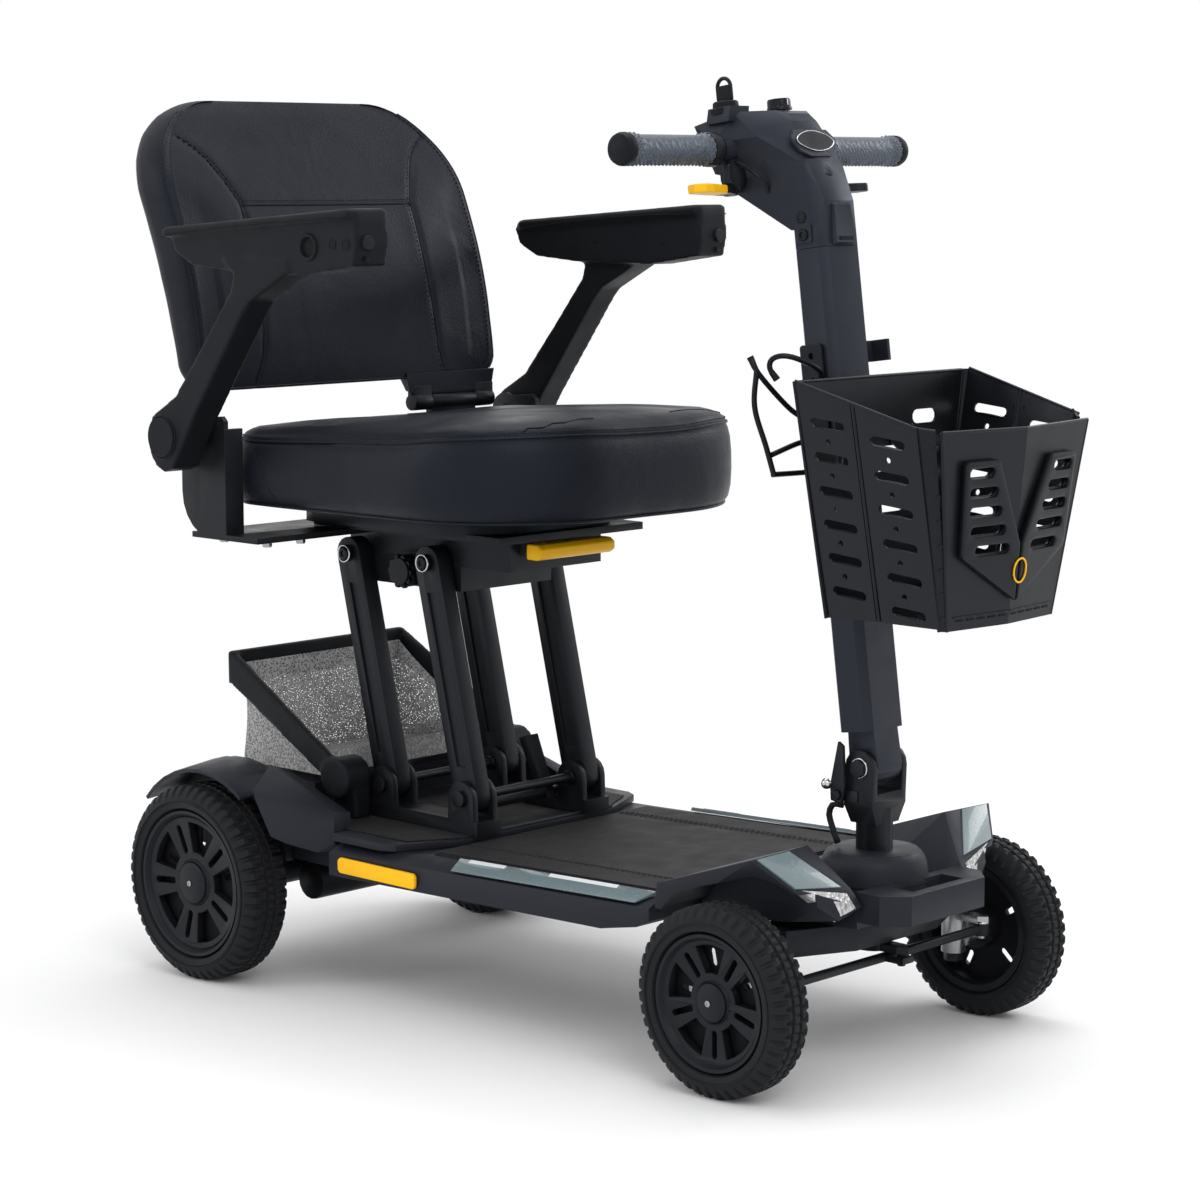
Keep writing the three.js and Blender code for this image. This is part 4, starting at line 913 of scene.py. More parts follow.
def disc(name, centre, axis, radius, height, material, body):
    """A low button with a softened edge."""
    profile = [(radius, -0.8), (radius, height * 0.6), (radius - min(1.0, radius * 0.2), height),
               (0, height * 1.05)]
    lathe(name, profile, centre, axis, material, body, 32)


LINK_LOW_Z, LINK_TOP_Z, LINK_RUN = 197, 434, 57  # the seat bars' pins, and how far the top ones sit back
ARM_PIVOT_X, ARM_PIVOT_Z = -698, 562


def arm_seam_z(x):
    """The seam between an armrest's pad and its body rises towards the front."""
    return 764.5 + 21 * math.sin((x + 697) / 291 * math.pi / 2)


for word, side in sides():
    out = Vector((0, side, 0))
    # seat linkage: bolts through the foot clevises and ringed pins at the top
    for label, x in (("front", -442), ("rear", -561)):
        top_x = x - LINK_RUN
        bolt(f"link_bolt_low_{label}_{word}", at(x, side * 97.6, LINK_LOW_Z), out, 7.5, 4.0, "chassis", BLACK_GLOSS)
        bolt(f"link_bolt_inner_{label}_{word}", at(x, side * 62.6, LINK_LOW_Z), -out, 7.5, 3.0, "chassis",
             BLACK_GLOSS)
        ring(f"link_ring_top_{label}_{word}", at(top_x, side * 95.3, LINK_TOP_Z), out, 8.6, 1.1, BOLT, "seat")
        bolt(f"link_bolt_top_{label}_{word}", at(top_x, side * 95.0, LINK_TOP_Z), out, 6.6, 2.4, "seat",
             BLACK_GLOSS)
    # armrest: pivot cap, ringed socket, two holes, front knob and the seams below the pad; the near-black ring round
    # the cap, disc in the socket, holes, screw holes and seam lines are painted shade
    arm = f"armrest_{word}"
    disc(f"arm_cap_{word}", at(ARM_PIVOT_X, side * 269.6, ARM_PIVOT_Z), out, 20, 2.6, SOFT_BLACK, arm)
    ring(f"arm_cap_ring_{word}", at(ARM_PIVOT_X, side * 269.9, ARM_PIVOT_Z), out, 21.5, 0.8, PAINTED_SHADE, arm)
    ring(f"arm_socket_ring_{word}", at(-473, side * 266.2, 758), out, 11.5, 2.0, SOFT_BLACK, arm)
    disc(f"arm_socket_dark_{word}", at(-473, side * 264.0, 758), out, 9.6, 0.8, PAINTED_SHADE, arm)
    for label, x, r in (("one", -438, 4.0), ("two", -419, 4.6)):
        disc(f"arm_hole_{label}_{word}", at(x, side * 266.0, 761), out, r, 0.4, PAINTED_SHADE, arm)
        ring(f"arm_hole_ring_{label}_{word}", at(x, side * 266.1, 761), out, r + 0.6, 0.6, SOFT_BLACK, arm)
    disc(f"arm_knob_{word}", at(-404.6, side * 252, 763), (1, 0, 0), 7.5, 4.0, BLACK, arm)
    disc(f"arm_front_hole_{word}", at(-404.4, side * 252, 747), (1, 0, 0), 3.2, 0.5, PAINTED_SHADE, arm)
    outer = [-694 + 284 * k / 40 for k in range(41)]
    tube(f"arm_seam_{word}", [at(x, side * 271.2, arm_seam_z(x)) for x in outer], 0.6, PAINTED_SHADE, arm, 6)
    inner = [-670 + 256 * k / 30 for k in range(31)]
    tube(f"arm_seam_inner_{word}", [at(x, side * 219.9, arm_seam_z(x)) for x in inner], 0.6, PAINTED_SHADE, arm, 6)
    for label, x in (("rear", -640), ("middle", -560), ("front", -460)):
        disc(f"arm_screw_hole_{label}_{word}", at(x, side * 224.0, 756), -out, 3.4, 0.5, PAINTED_SHADE, arm)
    # strap bolts under the seat
    for label, x, y in (("one", -612, 205), ("two", -612, 160), ("three", -680, 205)):
        bolt(f"strap_bolt_{label}_{word}", at(x, side * y, 455.6), (0, 0, -1), 5.0, 5.0, "seat", STEEL, True)
    pivot = at(ARM_PIVOT_X, side * 221.8, ARM_PIVOT_Z)
    bolt(f"strap_pivot_bolt_{word}", pivot, -out, 8.0, 3.0, "seat", BLACK_GLOSS)
    # stem: ringed pivot bolt
    ring(f"fold_ring_{word}", at(FOLD_PIVOT[0], side * 25.4, FOLD_PIVOT[1]), out, 9.0, 1.0, BOLT, "stem")
    bolt(f"fold_bolt_{word}", at(FOLD_PIVOT[0], side * 25.0, FOLD_PIVOT[1]), out, 7.6, 3.2, "stem", BLACK_GLOSS)
    # tie rod ends; the left one belongs to the knuckle
    rod_body = "knuckle_left" if side > 0 else "tie_rod"
    ring(f"rod_end_ring_{word}", at(34, side * 148, 105.5), (0, 0, 1), 6.0, 1.6, BOLT, rod_body)
    bolt(f"rod_end_nut_{word}", at(34, side * 148, 105), (0, 0, 1), 5.5, 6.0, rod_body, BOLT, True)
    bolt(f"bumper_bolt_{word}", at(60, side * 52, 149), (0, 0, -1), 6.0, 6.0, "chassis", BOLT, True)
    for label, spec in (("front", FRONT), ("rear", REAR)):
        hub = at(spec["x"], side * (spec["y"] + spec["width"] / 2 - 4.2), spec["z"])
        bolt(f"hub_screw_{label}_{word}", hub, out, 3.0, 1.2, f"{label}_wheel_{word}", STEEL)

boss = [(20, 160), (54, 160), (52.6, 168), (50.3, 185), (49.4, 189.5), (47.6, 194), (44.4, 198.4), (40.5, 200.8),
        (20, 201.2)]
lathe("front_boss", boss, at(17, 0, 0), at(17, 0, 100) - at(17, 0, 0), CHARCOAL, "chassis", 72)
# a near-black ring in the joint: painted shade
ring("front_boss_seam", at(17, 0, 172), (0, 0, 1), 52.2, 0.6, PAINTED_SHADE, "chassis")
disc("seat_knob_core", at(-547, -79, 420), (0, -1, 0), 15.0, 5.0, BLACK_GLOSS, "seat")
for k, (x, z) in enumerate(round_hole(-547, 420, 14.5, 10)):
    disc(f"seat_knob_lobe_{k}", at(x, -78.2, z), (0, -1, 0), 3.6, 4.0, BLACK_GLOSS, "seat")
ball = [(0, -5.5), (3.0, -4.6), (4.8, -2.6), (5.5, 0), (4.8, 2.6), (3.0, 4.6), (0, 5.5)]
lathe("latch_ball", ball, at(-16, -31, 262), (0, 0, 1), BOLT, "fold_latch", 24)
tube("latch_ball_stem", [at(-16, -31, 262), at(-9, -31, 264)], 2.2, STEEL, "fold_latch", 10)

# leather flap over the backrest bracket
flap = [(80, 589), (84, 586), (200, 586), (204, 589), (209, 611), (74, 611)]
plate("back_flap", flap, [], 4.2, lambda s, t, n: at(-705.6 + n, s, t), LEATHER, "backrest", (), 1.4)
stitches("back_flap_stitches", [at(-701.2, y, 590.5) for y in range(88, 198, 4)], "backrest")

# ---------- tiller head ----------
BAR_U, BAR_W = -65, 584  # the handlebar's line
TILLER_LEFT = on_tiller(0, 1, 0) - on_tiller(0, 0, 0)
TILLER_UP = on_tiller(0, 0, 1) - on_tiller(0, 0, 0)


def grip_piece(word, side):
    """A rubber sleeve with raised scales, a smooth band for the thumb and a closed black end."""
    steps, rows = 96, 90
    points = []
    for row in range(rows + 1):
        v = 85 + 106.5 * row / rows
        base = 13.4 + 0.7 * math.exp(-((v - 88) / 5) ** 2) + 0.5 * math.exp(-((v - 186) / 6) ** 2)
        for k in range(steps):
            a = 2 * math.pi * k / steps
            down = 0.5 - 0.5 * math.cos(a - math.pi * 1.5) if 92 < v < 182 else 0.0
            scaled = max(0.0, 1 - down * 1.6)
            r = base + 1.9 * scaled * abs(math.sin(v * 0.62 + a * 8)) * abs(math.sin(v * 0.62 - a * 8))
            points.append(on_tiller(BAR_U + r * math.cos(a), side * v, BAR_W + r * math.sin(a)))
    faces = grid_faces(rows + 1, steps) + lids(rows + 1, steps)
    if side > 0:
        faces = [tuple(reversed(face)) for face in faces]
    made(f"grip_sleeve_{word}", points, faces, GRIP, "tiller", (f"grip_{word}",), 60)
    along = on_tiller(BAR_U, side, BAR_W) - on_tiller(BAR_U, 0, BAR_W)
    end = [(13.0, 190.5), (15.0, 191.5), (15.4, 194), (15.2, 198), (13.8, 201.4), (10.5, 203.2), (0, 203.8)]
    lathe(f"grip_end_{word}", end, on_tiller(BAR_U, 0, BAR_W), along, SOFT_BLACK, "tiller", 56)
    collar = [(11.5, 70), (15.2, 71), (16.0, 74), (16.0, 81), (15.2, 84.6), (11.5, 85)]
    lathe(f"grip_collar_{word}", collar, on_tiller(BAR_U, 0, BAR_W), along, BLACK, "tiller", 56)


for word, side in sides():
    grip_piece(word, side)


def round_box(s0, s1, t0, t1, r, steps=5):
    """A rectangle with rounded corners."""
    loop = []
    for cx, cy, start in ((s1 - r, t1 - r, 0), (s0 + r, t1 - r, 90), (s0 + r, t0 + r, 180), (s1 - r, t0 + r, 270)):
        for k in range(steps + 1):
            a = math.radians(start + 90 * k / steps)
            loop.append((cx + r * math.cos(a), cy + r * math.sin(a)))
    return loop


for word, side in sides():
    plate(f"collar_plate_{word}", round_box(-13, 6, 489, 524, 2.5), [], 1.6,
          lambda s, t, n, side=side: on_tiller(s, side * (28.1 + n), t), POST, "tiller", (), 0.6)
    for label, w in (("upper", 513.5), ("lower", 497)):
        bolt(f"collar_screw_{label}_{word}", on_tiller(-3.5, side * 29.7, w), TILLER_LEFT * side, 5.6, 2.4, "tiller",
             BLACK_GLOSS)
    # lever housing, its pivot and its lead
    pod = [(6, -17), (10, -14), (12.5, -6), (12.5, 6), (10.5, 12), (6, 15), (0, 16)]
    lathe(f"lever_pod_{word}", pod, on_tiller(-66, side * 47, 562), TILLER_UP, SOFT_BLACK, "tiller", 32)
    lathe(f"lever_pivot_{word}", [(5, -20), (7.4, -19), (7.4, -15)], on_tiller(-66, side * 52.5, 562), TILLER_UP,
          BLACK, "tiller", 24)
    route = [(-62, 53, 572), (-52, 54, 570), (-40, 49.5, 560), (-33, 42, 549), (-34, 37, 540)]
    cable = smooth_path([on_tiller(u, side * v, w) for u, v, w in route], 6)
    tube(f"lever_lead_{word}", cable, 1.6, BLACK_GLOSS, "tiller", 8)

# bottle cage: bent bars on a spine plate
cage_bars = {"hook": [(2, -31, 360), (11, -42, 371), (6, -62, 382), (-3, -74, 387), (-12, -80, 385),
                      (-15, -81, 377), (-12, -76, 366)],
             "arm": [(-14, -31, 326), (-21, -50, 338), (-18, -92, 371), (-23, -98, 389)],
             "rail": [(-18, -96, 377), (-23, -98, 343), (-19, -92, 306), (-16, -88, 278)],
             "shelf": [(-16, -90, 280), (-16, -50, 279), (-14, -31, 279)],
             "brace": [(-16, -89, 298), (-17, -50, 306), (-15, -31, 308)]}
for label, route in cage_bars.items():
    path = smooth_path([on_tiller(*p) for p in route], 8)
    radii = [2.6] * len(path)
    if label in ("hook", "arm"):
        for k in range(6):
            radii[-1 - k] = 3.4 - 0.1 * k
    stands_for = ("bottle_cage",) if label == "hook" else ()
    tube(f"cage_{label}", path, radii, BLACK_GLOSS, "tiller", 12, False, stands_for)
spine_holes = [round_hole(-6, 385, 3), round_hole(-6, 280, 3), slot_hole(-6, 345, 40, 8, math.pi / 2)]
plate("cage_spine", round_box(-19, 7, 268, 396, 3.5), spine_holes, 3.4,
      lambda s, t, n: on_tiller(s, -28.6 - n, t), BLACK_GLOSS, "tiller", (), 0.6)

# raised badge pad with a blank lozenge, on the slope that faces forward
slope = Vector((19, 0, -44)).normalized()
facing = Vector((44, 0, 19)).normalized()


def badge_world(lift):
    def to_world(s, t, n):
        p = Vector((-4.5, -3, 582)) + slope * t + facing * (n + lift)
        return on_tiller(p.x, p.y + s, p.z)
    return to_world


pad = [(-32, -3), (-24, -13), (24, -13), (32, -3), (26, 10), (14, 16), (-14, 16), (-26, 10)]
plate("badge_pad", pad, [], 3.0, badge_world(0.6), POST, "tiller", (), 0.9)
turns = [2 * math.pi * k / 40 for k in range(40)]
oval = [(26 * math.cos(t), 9.5 * math.sin(t) * (1 - 0.12 * math.cos(2 * t))) for t in turns]
plate("badge_blank", oval, [], 1.2, badge_world(3.4), BLACK_GLOSS, "tiller", (), 0.5)
tube("badge_rim", [badge_world(4.6)(s, t, 0) for s, t in oval], 0.45, BOLT, "tiller", 6, True)

tongue = [(-9.5, 489), (9.5, 489), (9.5, 492.5), (-9.5, 492.5)]
# a near-black strip: painted shade inside the clip's slot
plate("clip_slot", tongue, [], 0.8, lambda s, t, n: on_tiller(23.2 + n, s, t), PAINTED_SHADE, "tiller", (), 0.2)

# key switch, key with its ring, and the speed dial
KEY = (-72, -42)
switch = [(15, 0), (15, 5), (13.5, 6), (12.5, 6.5), (12, 11), (10.5, 12.2), (0, 12.4)]
lathe("key_switch", switch, on_tiller(*KEY, 618), TILLER_UP, SOFT_BLACK, "tiller", 40)
plate("key_head", round_box(-9, 9, 629.5, 645, 3.2), [], 5.0,
      lambda s, t, n: on_tiller(KEY[0] + s, KEY[1] + n - 2.5, t), SOFT_BLACK, "ignition_key", ("ignition_key",), 1.2)
turns = [math.radians(a) for a in range(0, 181, 10)]
bow = [on_tiller(KEY[0] + 8.2 * math.cos(a), KEY[1], 643 + 8.6 * math.sin(a)) for a in turns]
tube("key_bow", bow, 1.9, BLACK_GLOSS, "ignition_key", 10)
DIAL = (-46, 4)
KNURL = 60
dial_rings = [(12.0, 618.5), (12.0, 620.5), (11.2, 621.5), (11.0, 627.5), (10.2, 629), (0.1, 629.2)]
dial_points = []
for level, (radius, w) in enumerate(dial_rings):
    for k in range(KNURL):
        a = 2 * math.pi * k / KNURL
        r = radius - (0.5 if 1 < level < 5 and k % 3 == 0 else 0)
        dial_points.append(on_tiller(DIAL[0] + r * math.cos(a), DIAL[1] + r * math.sin(a), w))
dial_faces = grid_faces(len(dial_rings), KNURL) + lids(len(dial_rings), KNURL)
made("speed_dial_knob", dial_points, dial_faces, BLACK_GLOSS, "speed_dial", ("speed_dial",), 40)
tube("speed_dial_mark", [on_tiller(-35.2, 4, 622.5), on_tiller(-35.4, 4, 627.6), on_tiller(-40, 4, 629.3)], 0.5,
     PALE_FILM, "speed_dial", 6)


# ---------- deck covering ----------
DECK_REAR, DECK_FRONT = -425, -96


def deck_top(x):
    """Height of the deck, which rises a little to the front."""
    return 152 + 11 * (x - DECK_REAR) / (DECK_FRONT - DECK_REAR)


for name, y0, y1 in (("middle", -110.5, 110.5), ("left", 112.5, 155), ("right", -155, -112.5)):
    plate(f"deck_mat_{name}", round_box(-417, -109, y0, y1, 2.0, 3), [], 1.6,
          lambda s, t, n: at(s, t, deck_top(s) + 2.0 + n), MAT_BLACK, "chassis", (), 0.5)
for word, y in (("left", 116), ("left_two", 106), ("right", -116)):
    line = [at(x, y, deck_top(x) + 3.8) for x in range(-410, -118, 6)]
    stitches(f"deck_stitches_{word}", line, "chassis", 0.007, 0.0042, 0.0005)
step = [(-428, -108), (-428, 108), (-455, 160), (-600, 160), (-600, -160), (-455, -160)]
bracket_gaps = [[(-588, y), (-430, y), (-430, y + 45), (-588, y + 45)] for y in (-100, 55)]
plate("rear_step_mat", step, bracket_gaps, 1.4, lambda s, t, n: at(s, t, 160.2 + n), MAT_BLACK, "chassis", (), 0.5)
tube("rear_step_lip", [at(-427, y, 161.2) for y in range(-110, 111, 10)], 2.2, CHARCOAL, "chassis", 10)
for word, side in sides():
    for label, x0, x1 in (("one", -350, -300), ("two", -240, -150)):
        plate(f"side_film_{label}_{word}", [(x0, 0), (x1, 0), (x1, 4.2), (x0, 4.2)], [], 0.5,
              lambda s, t, n, side=side: at(s, side * (172 + t), deck_top(s) + 5.3 - t * 0.55 + n),
              PALE_FILM, "chassis", (), 0.15)


# ---------- basket ----------
BASKET_LOW = 428
SHEET = 2.2  # thickness of the sheet metal
SLOT_PITCH = 31.4


def sheet_frame(origin, s_dir, t_dir):
    """A plane through origin: one function takes (s, t, n) to its place, the other a point to (s, t)."""
    s = Vector(s_dir).normalized()
    n = s.cross(Vector(t_dir)).normalized()
    t = n.cross(s)

    def to_world(a, b, c):
        p = Vector(origin) + s * a + t * b + n * c
        return at(p.x, p.y, p.z)

    def flat(p):
        return (p - Vector(origin)).dot(s), (p - Vector(origin)).dot(t)
    return to_world, flat


def rivet(centre, outward, radius, sides_of):
    return tube_mesh([centre - outward * 0.0004, centre + outward * 0.0009], radius, sides_of)


def basket_side(word, side):
    """Two slotted leaves with lipped slots, a hinge between them, a rolled rim and rivets."""
    flare, rise = 38, 181
    tall = math.hypot(flare, rise)
    world, _ = sheet_frame((27, side * 84, BASKET_LOW), (1, 0, 0), (0, side * flare, rise))

    def to_world(s, t, n):
        return world(s, t, n - (2.4 if side < 0 else 0))

    def line_top(s):
        return tall * (1.2 - 0.2 * (s + 4) / 132)

    for half, (s0, s1) in enumerate(((0.0, 56.0), (61.0, 126.0))):
        outline = [(s0 + 1, 2), (s1, 2), (s1 + (1 if half else 0), line_top(s1)),
                   (s0 + (0.0 if half else -4.0), line_top(s0))]
        holes = []
        mid = (s0 + s1) / 2
        first = 13.5 if half else 26.5
        for row in range(6):
            t = first + row * SLOT_PITCH
            slot_mid = mid - (row - 3) * 0.3
            holes.append(slot_hole(slot_mid, t, 38, 8.5, -0.10))
            if row < 5:
                holes.append(round_hole(mid - 2, t + SLOT_PITCH / 2, 2.7))
            lift = 2.6 if side > 0 else -0.4
            lip = [to_world(slot_mid + q, t - 5.0 - 0.10 * q, lift) for q in (-17, -8, 0, 8, 17)]
            tube(f"basket_lip_{word}_{half}_{row}", lip, [0.5, 1.1, 1.3, 1.1, 0.5], SHEET_BLACK, "basket", 8)
        stands = () if half else (f"basket_side_{word}",)
        plate(f"basket_side_{word}_{'front' if half else 'rear'}", outline, holes, SHEET, to_world, SHEET_BLACK,
              "basket", stands, 0.35)
    hinge = [to_world(58.5, t, 1.1) for t in (3, 60, 120, tall * 1.11)]
    tube(f"basket_hinge_{word}", hinge, 1.9, SHEET_BLACK, "basket", 10)
    top = [to_world(s, line_top(s), 1.1) for s in (-4, 30, 60, 90, 127)]
    tube(f"basket_rim_{word}", top, 1.6, SHEET_BLACK, "basket", 8)
    rivets = []
    for s in (6.0, 53.0, 64.5, 121.0):
        for k in range(7):
            t = 14 + k * 29
            outward = (to_world(s, t, 5.0) - to_world(s, t, 0.0)).normalized() * side
            rivets.append(rivet(to_world(s, t, SHEET if side > 0 else 0.0), outward, 0.0016, 8))
    made(f"basket_rivets_{word}", *gather(rivets), SHEET_BLACK, "basket", (), 50)


for word, side in sides():
    basket_side(word, side)

rear_world, _ = sheet_frame((27 - 3.2, 0, BASKET_LOW), (0, 1, 0), (-6, 0, 217))
rear_holes = [slot_hole(-62, 176, 36, 13), slot_hole(62, 176, 36, 13), slot_hole(0, 96, 60, 12),
              slot_hole(-58, 96, 34, 12), slot_hole(58, 96, 34, 12), slot_hole(-64, 146, 19, 12, 1.57),
              slot_hole(64, 146, 19, 12, 1.57), [(-24, 128), (24, 128), (24, 146), (0, 164), (-24, 146)]]
plate("basket_rear_sheet", [(-82, 0), (82, 0), (121, 216), (-121, 216)], rear_holes, 2.4, rear_world,
      SHEET_BLACK, "basket", ("basket_rear",), 0.35)
tube("basket_rim_rear", [rear_world(s, 216, 1.2) for s in (-121, -60, 0, 60, 121)], 1.7, SHEET_BLACK, "basket", 8)


LOW_PROW, HIGH_PROW = Vector((166, 0, BASKET_LOW)), Vector((184, 0, 605))


def basket_front(word, side):
    """One wing of the front, half of its raised V shield, and the chamfered strip to the side."""
    low_corner, high_corner = Vector((158, side * 78, BASKET_LOW)), Vector((164, side * 108, 607))
    plane, flat = sheet_frame(LOW_PROW, low_corner - LOW_PROW, HIGH_PROW - LOW_PROW)

    def wing_world(s, t, n):
        return plane(s, t, side * (n - SHEET))

    def shield_world(s, t, n):
        return plane(s, t, side * n)

    rows = ((142, 43, 74), (124.5, 36, 72), (107, 29, 70), (89.5, 22, 67), (72, 15, 59))
    holes = [slot_hole((s0 + s1) / 2, t, s1 - s0, 8.8) for t, s0, s1 in rows]
    outline = [(0, 0), flat(low_corner), flat(high_corner), flat(HIGH_PROW)]
    stands = ("basket_front",) if side > 0 else ()
    plate(f"basket_wing_{word}", outline, holes, SHEET, wing_world, SHEET_BLACK, "basket", stands)
    shield = [(0.2, 23), (0.2, 75), (35.5, 150), (39, 153), (77, 153), (80.5, 149.5), (76, 70), (74, 66)]
    plate(f"basket_shield_{word}", shield, holes, 7.0, shield_world, SHEET_BLACK, "basket", (), 2.2)
    # near-black dashes paint the shade inside the slots along the hem
    for k in range(5):
        dash = [wing_world(4 + k * 14 + q, 9, 2.3) for q in (0, 4, 9)]
        tube(f"basket_hem_slot_{word}_{k}", dash, 0.9, PAINTED_SHADE, "basket", 6)
    # chamfered corner strip between the side and the front
    side_low, side_high = Vector((152.5, side * 83, BASKET_LOW)), Vector((154, side * 120.5, 609))
    corner_plane, corner_flat = sheet_frame(low_corner, side_low - low_corner, high_corner - low_corner)

    def corner_world(s, t, n):
        return corner_plane(s, t, side * (n - 2.0))

    strip = [(0, 0), corner_flat(side_low), corner_flat(side_high), corner_flat(high_corner)]
    plate(f"basket_corner_{word}", strip, [], 2.0, corner_world, SHEET_BLACK, "basket")

    def on_wing(p):
        return wing_world(*flat(p), 1.1)

    def on_corner(p):
        return corner_world(*corner_flat(p), 1.0)

    beads = (("hem", [wing_world(1 + 9 * k, 12.5, 2.4) for k in range(9)], 0.8, 6),
             ("rim_front", [on_wing(high_corner), on_wing(HIGH_PROW)], 1.5, 8),
             ("corner_bead", [on_wing(low_corner), on_wing(high_corner)], 1.7, 8),
             ("side_bead", [on_corner(side_low), on_corner(side_high)], 1.7, 8),
             ("rim_corner", [on_corner(high_corner), on_corner(side_high)], 1.5, 8))
    for label, path, radius, round_sides in beads:
        tube(f"basket_{label}_{word}", path, radius, SHEET_BLACK, "basket", round_sides)
    low_width, high_width = corner_flat(side_low)[0], corner_flat(side_high)[0]
    outward = (corner_world(0, 0, 3) - corner_world(0, 0, 0)).normalized()
    rivets = []
    for row in range(8):
        t = 12 + row * 22
        width = low_width + (high_width - low_width) * t / 184
        rivets.append(rivet(corner_world(width * 0.5, t, 2.0), outward, 0.0022, 10))
    made(f"basket_corner_rivets_{word}", *gather(rivets), BLACK, "basket", (), 50)


for word, side in sides():
    basket_front(word, side)

# blank oval on the point of the shield
oval = []
for k in range(33):
    turn = 2 * math.pi * k / 32
    lean = LOW_PROW.lerp(HIGH_PROW, (50 + 11 * math.sin(turn)) / 178)
    y = 9 * math.cos(turn)
    oval.append(at(lean.x + 7.8 - 0.07 * abs(y), y, lean.z))
tube("basket_oval", oval, 0.9, YELLOW, "basket", 8)

# strips that close the rear corners
for word, side in sides():
    low, high = Vector((25.2, side * 83.4, BASKET_LOW)), Vector((20.4, side * 125.0, 645))
    strip_across = Vector((5.2, side * 8.6, 0)).normalized()
    outward = Vector((-8.6, side * 5.2, 0)).normalized()
    points = []
    for end, half_width in ((low, 3.0), (high, 5.6)):
        for u, n in ((-1, 0), (1, 0), (1, 2.0), (-1, 2.0)):
            p = end + strip_across * (u * half_width) + outward * n
            points.append(at(p.x, p.y, p.z))
    faces = [(0, 1, 2, 3), (7, 6, 5, 4), (0, 4, 5, 1), (1, 5, 6, 2), (2, 6, 7, 3), (3, 7, 4, 0)]
    made(f"basket_rear_corner_{word}", points, faces, SHEET_BLACK, "basket", (), 30)
    pin = [at(24.6, side * 82.4, 430), at(19.0, side * 122.4, 643)]
    tube(f"basket_rear_pin_{word}", pin, 2.0, BLACK_GLOSS, "basket", 10)

floor_holes = [slot_hole(x, y, 36, 10) for y in (-45, 0, 45) for x in (60, 115)]
floor_outline = [(28, -79.8), (28, 79.8), (147, 79.8), (153.5, 71), (160.5, 0), (153.5, -71), (147, -79.8)]
plate("basket_floor_sheet", floor_outline, floor_holes, 2.4, lambda s, t, n: at(s, t, 430 + n), BLACK_GLOSS,
      "basket_floor", ("basket_floor",), 0.35)


# ---------- rear bag ----------
BAG_FRONT, BAG_DEEP, BAG_HALF, BAG_FLOOR = -632, 130, 115.0, 198


def bag():
    """Slack mesh walls hung between the rails, a floor and a low wall at the front."""
    bag_rear = BAG_FRONT - BAG_DEEP
    path = [(BAG_FRONT - k / 19 * BAG_DEEP, BAG_HALF) for k in range(20)]
    path += [(bag_rear, BAG_HALF - 2 * BAG_HALF * (k / 20)) for k in range(1, 20)]
    path += [(bag_rear + k / 19 * BAG_DEEP, -BAG_HALF) for k in range(20)]
    rows = 12
    points = []
    for r in range(rows + 1):
        v = r / rows
        for x, y in path:
            forward = (x - bag_rear) / BAG_DEEP
            top = 305 - 82 * max(0.0, forward) ** 0.9
            z = BAG_FLOOR + (top - BAG_FLOOR) * v
            sag = math.sin(math.pi * v) * 4 * (1 if abs(y) > 100 else 1.4)
            ripple = 1.6 * math.sin(x * 0.11 + y * 0.09 + v * 3)
            outward = sag + ripple * math.sin(math.pi * v)
            px = x + (outward if x < bag_rear + 2 and abs(y) < BAG_HALF - 1 else 0) * 0.6
            py = y + (-outward if y > 100 else outward if y < -100 else 0)
            points.append(at(px, py, z))
    faces = grid_faces(rows + 1, len(path), wrapped=False)
    floor_rows, across = 8, 9
    ys = [-BAG_HALF + 2 * BAG_HALF * q / (across - 1) for q in range(across)]
    faces += grid_faces(floor_rows + 1, across, wrapped=False, first=len(points))
    for r in range(floor_rows + 1):
        points += [at(BAG_FRONT - BAG_DEEP * r / floor_rows, y, BAG_FLOOR + 0.5) for y in ys]
    wall = len(points)
    for y in ys:
        points += [at(BAG_FRONT, y, BAG_FLOOR + 0.5), at(BAG_FRONT - 2, y, 222)]
    faces += [(a, a + 2, a + 3, a + 1) for a in range(wall, wall + 2 * (across - 1), 2)]
    return points, faces


bag_points, bag_faces = bag()
bag_piece = made("rear_bag_mesh", bag_points, bag_faces, CLOTH, "chassis", ("rear_bag",), 60)

# ---------- studio ----------
def studio_floor():
    """A pale floor that fades into the white of the room."""
    mat = surface("studio_floor", (0.86, 0.86, 0.865), 0.85, mottle=0.0)
    tree = mat.node_tree
    reach = tree.nodes.new("ShaderNodeVectorMath")
    reach.operation = "LENGTH"
    tree.links.new(tree.nodes["Texture Coordinate"].outputs["Object"], reach.inputs[0])
    fade = shader_node(tree, "MapRange", {"From Min": 0.45, "From Max": 1.7})
    fade.interpolation_type = "SMOOTHSTEP"
    tree.links.new(reach.outputs["Value"], fade.inputs["Value"])
    glow = shader_node(tree, "Emission", {"Color": (1, 1, 1, 1), "Strength": 1.0})
    paint = tree.nodes["Principled BSDF"].outputs["BSDF"]
    blend_shaders(tree, fade.outputs["Result"], paint, glow.outputs["Emission"])
    return mat


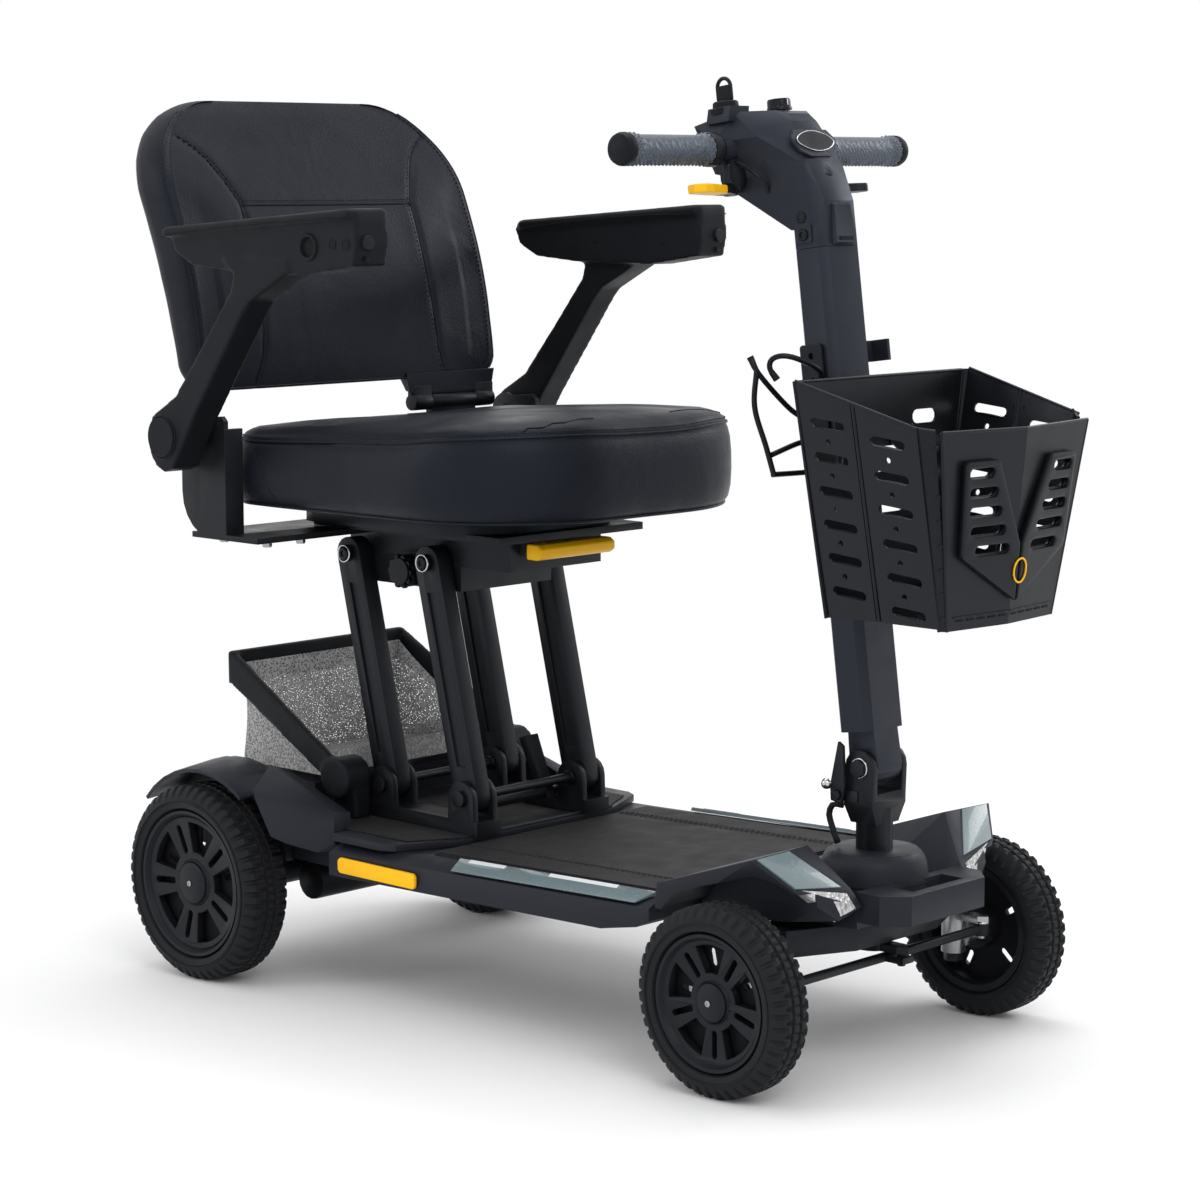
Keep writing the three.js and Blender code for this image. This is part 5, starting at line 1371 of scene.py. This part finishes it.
floor_mesh = bpy.data.meshes.new("floor")
floor_mesh.from_pydata([(-30, -30, 0), (30, -30, 0), (30, 30, 0), (-30, 30, 0)], [], [(0, 1, 2, 3)])
floor = bpy.data.objects.new("floor", floor_mesh)
bpy.context.scene.collection.objects.link(floor)
floor_mesh.materials.append(studio_floor())

world = bpy.data.worlds.new("studio")
bpy.context.scene.world = world
world.use_nodes = True
room = world.node_tree.nodes["Background"]
room.inputs["Color"].default_value = (1, 1, 1, 1)
room.inputs["Strength"].default_value = 1.0
bpy.context.scene.view_settings.view_transform = "Standard"


def lamp(name, place, target, size, power):
    data = bpy.data.lights.new(name, "AREA")
    data.shape = "RECTANGLE"
    data.size, data.size_y = size
    data.energy = power
    obj = bpy.data.objects.new(name, data)
    bpy.context.scene.collection.objects.link(obj)
    obj.location = place
    obj.rotation_euler = (Vector(target) - Vector(place)).to_track_quat("-Z", "Y").to_euler()


lamp("key_light", (2.4, -1.4, 2.4), (0, 0, 0.4), (1.2, 1.2), 20)
lamp("left_light", (-1.6, -2.6, 1.8), (-0.2, 0, 0.4), (1.0, 1.6), 12)
lamp("top_light", (-0.2, 0.3, 2.8), (0, 0, 0.4), (1.6, 1.6), 22)
lamp("rim_light", (0.6, 2.6, 1.8), (0, 0, 0.5), (1.6, 1.0), 16)

# ---------- camera ----------
CAMERA_AT = (1797.93, -2248.65, 829.32)
LENS_MM, SENSOR_MM = 93.06, 36.0
yaw, pitch = math.radians(43.535), math.radians(7.848)
tip = Matrix.Rotation(TAIL_UP, 3, "Y")
forward = tip @ Vector((-math.sin(yaw) * math.cos(pitch), math.cos(yaw) * math.cos(pitch), -math.sin(pitch)))
right = tip @ Vector((math.cos(yaw), math.sin(yaw), 0))
upward = right.cross(forward)
camera_data = bpy.data.cameras.new("camera")
camera_data.lens = LENS_MM
camera_data.sensor_width = SENSOR_MM
camera = bpy.data.objects.new("camera", camera_data)
bpy.context.scene.collection.objects.link(camera)
pose = Matrix((right, upward, -forward)).transposed().to_4x4()
pose.translation = at(*CAMERA_AT)
camera.matrix_world = pose
bpy.context.scene.camera = camera
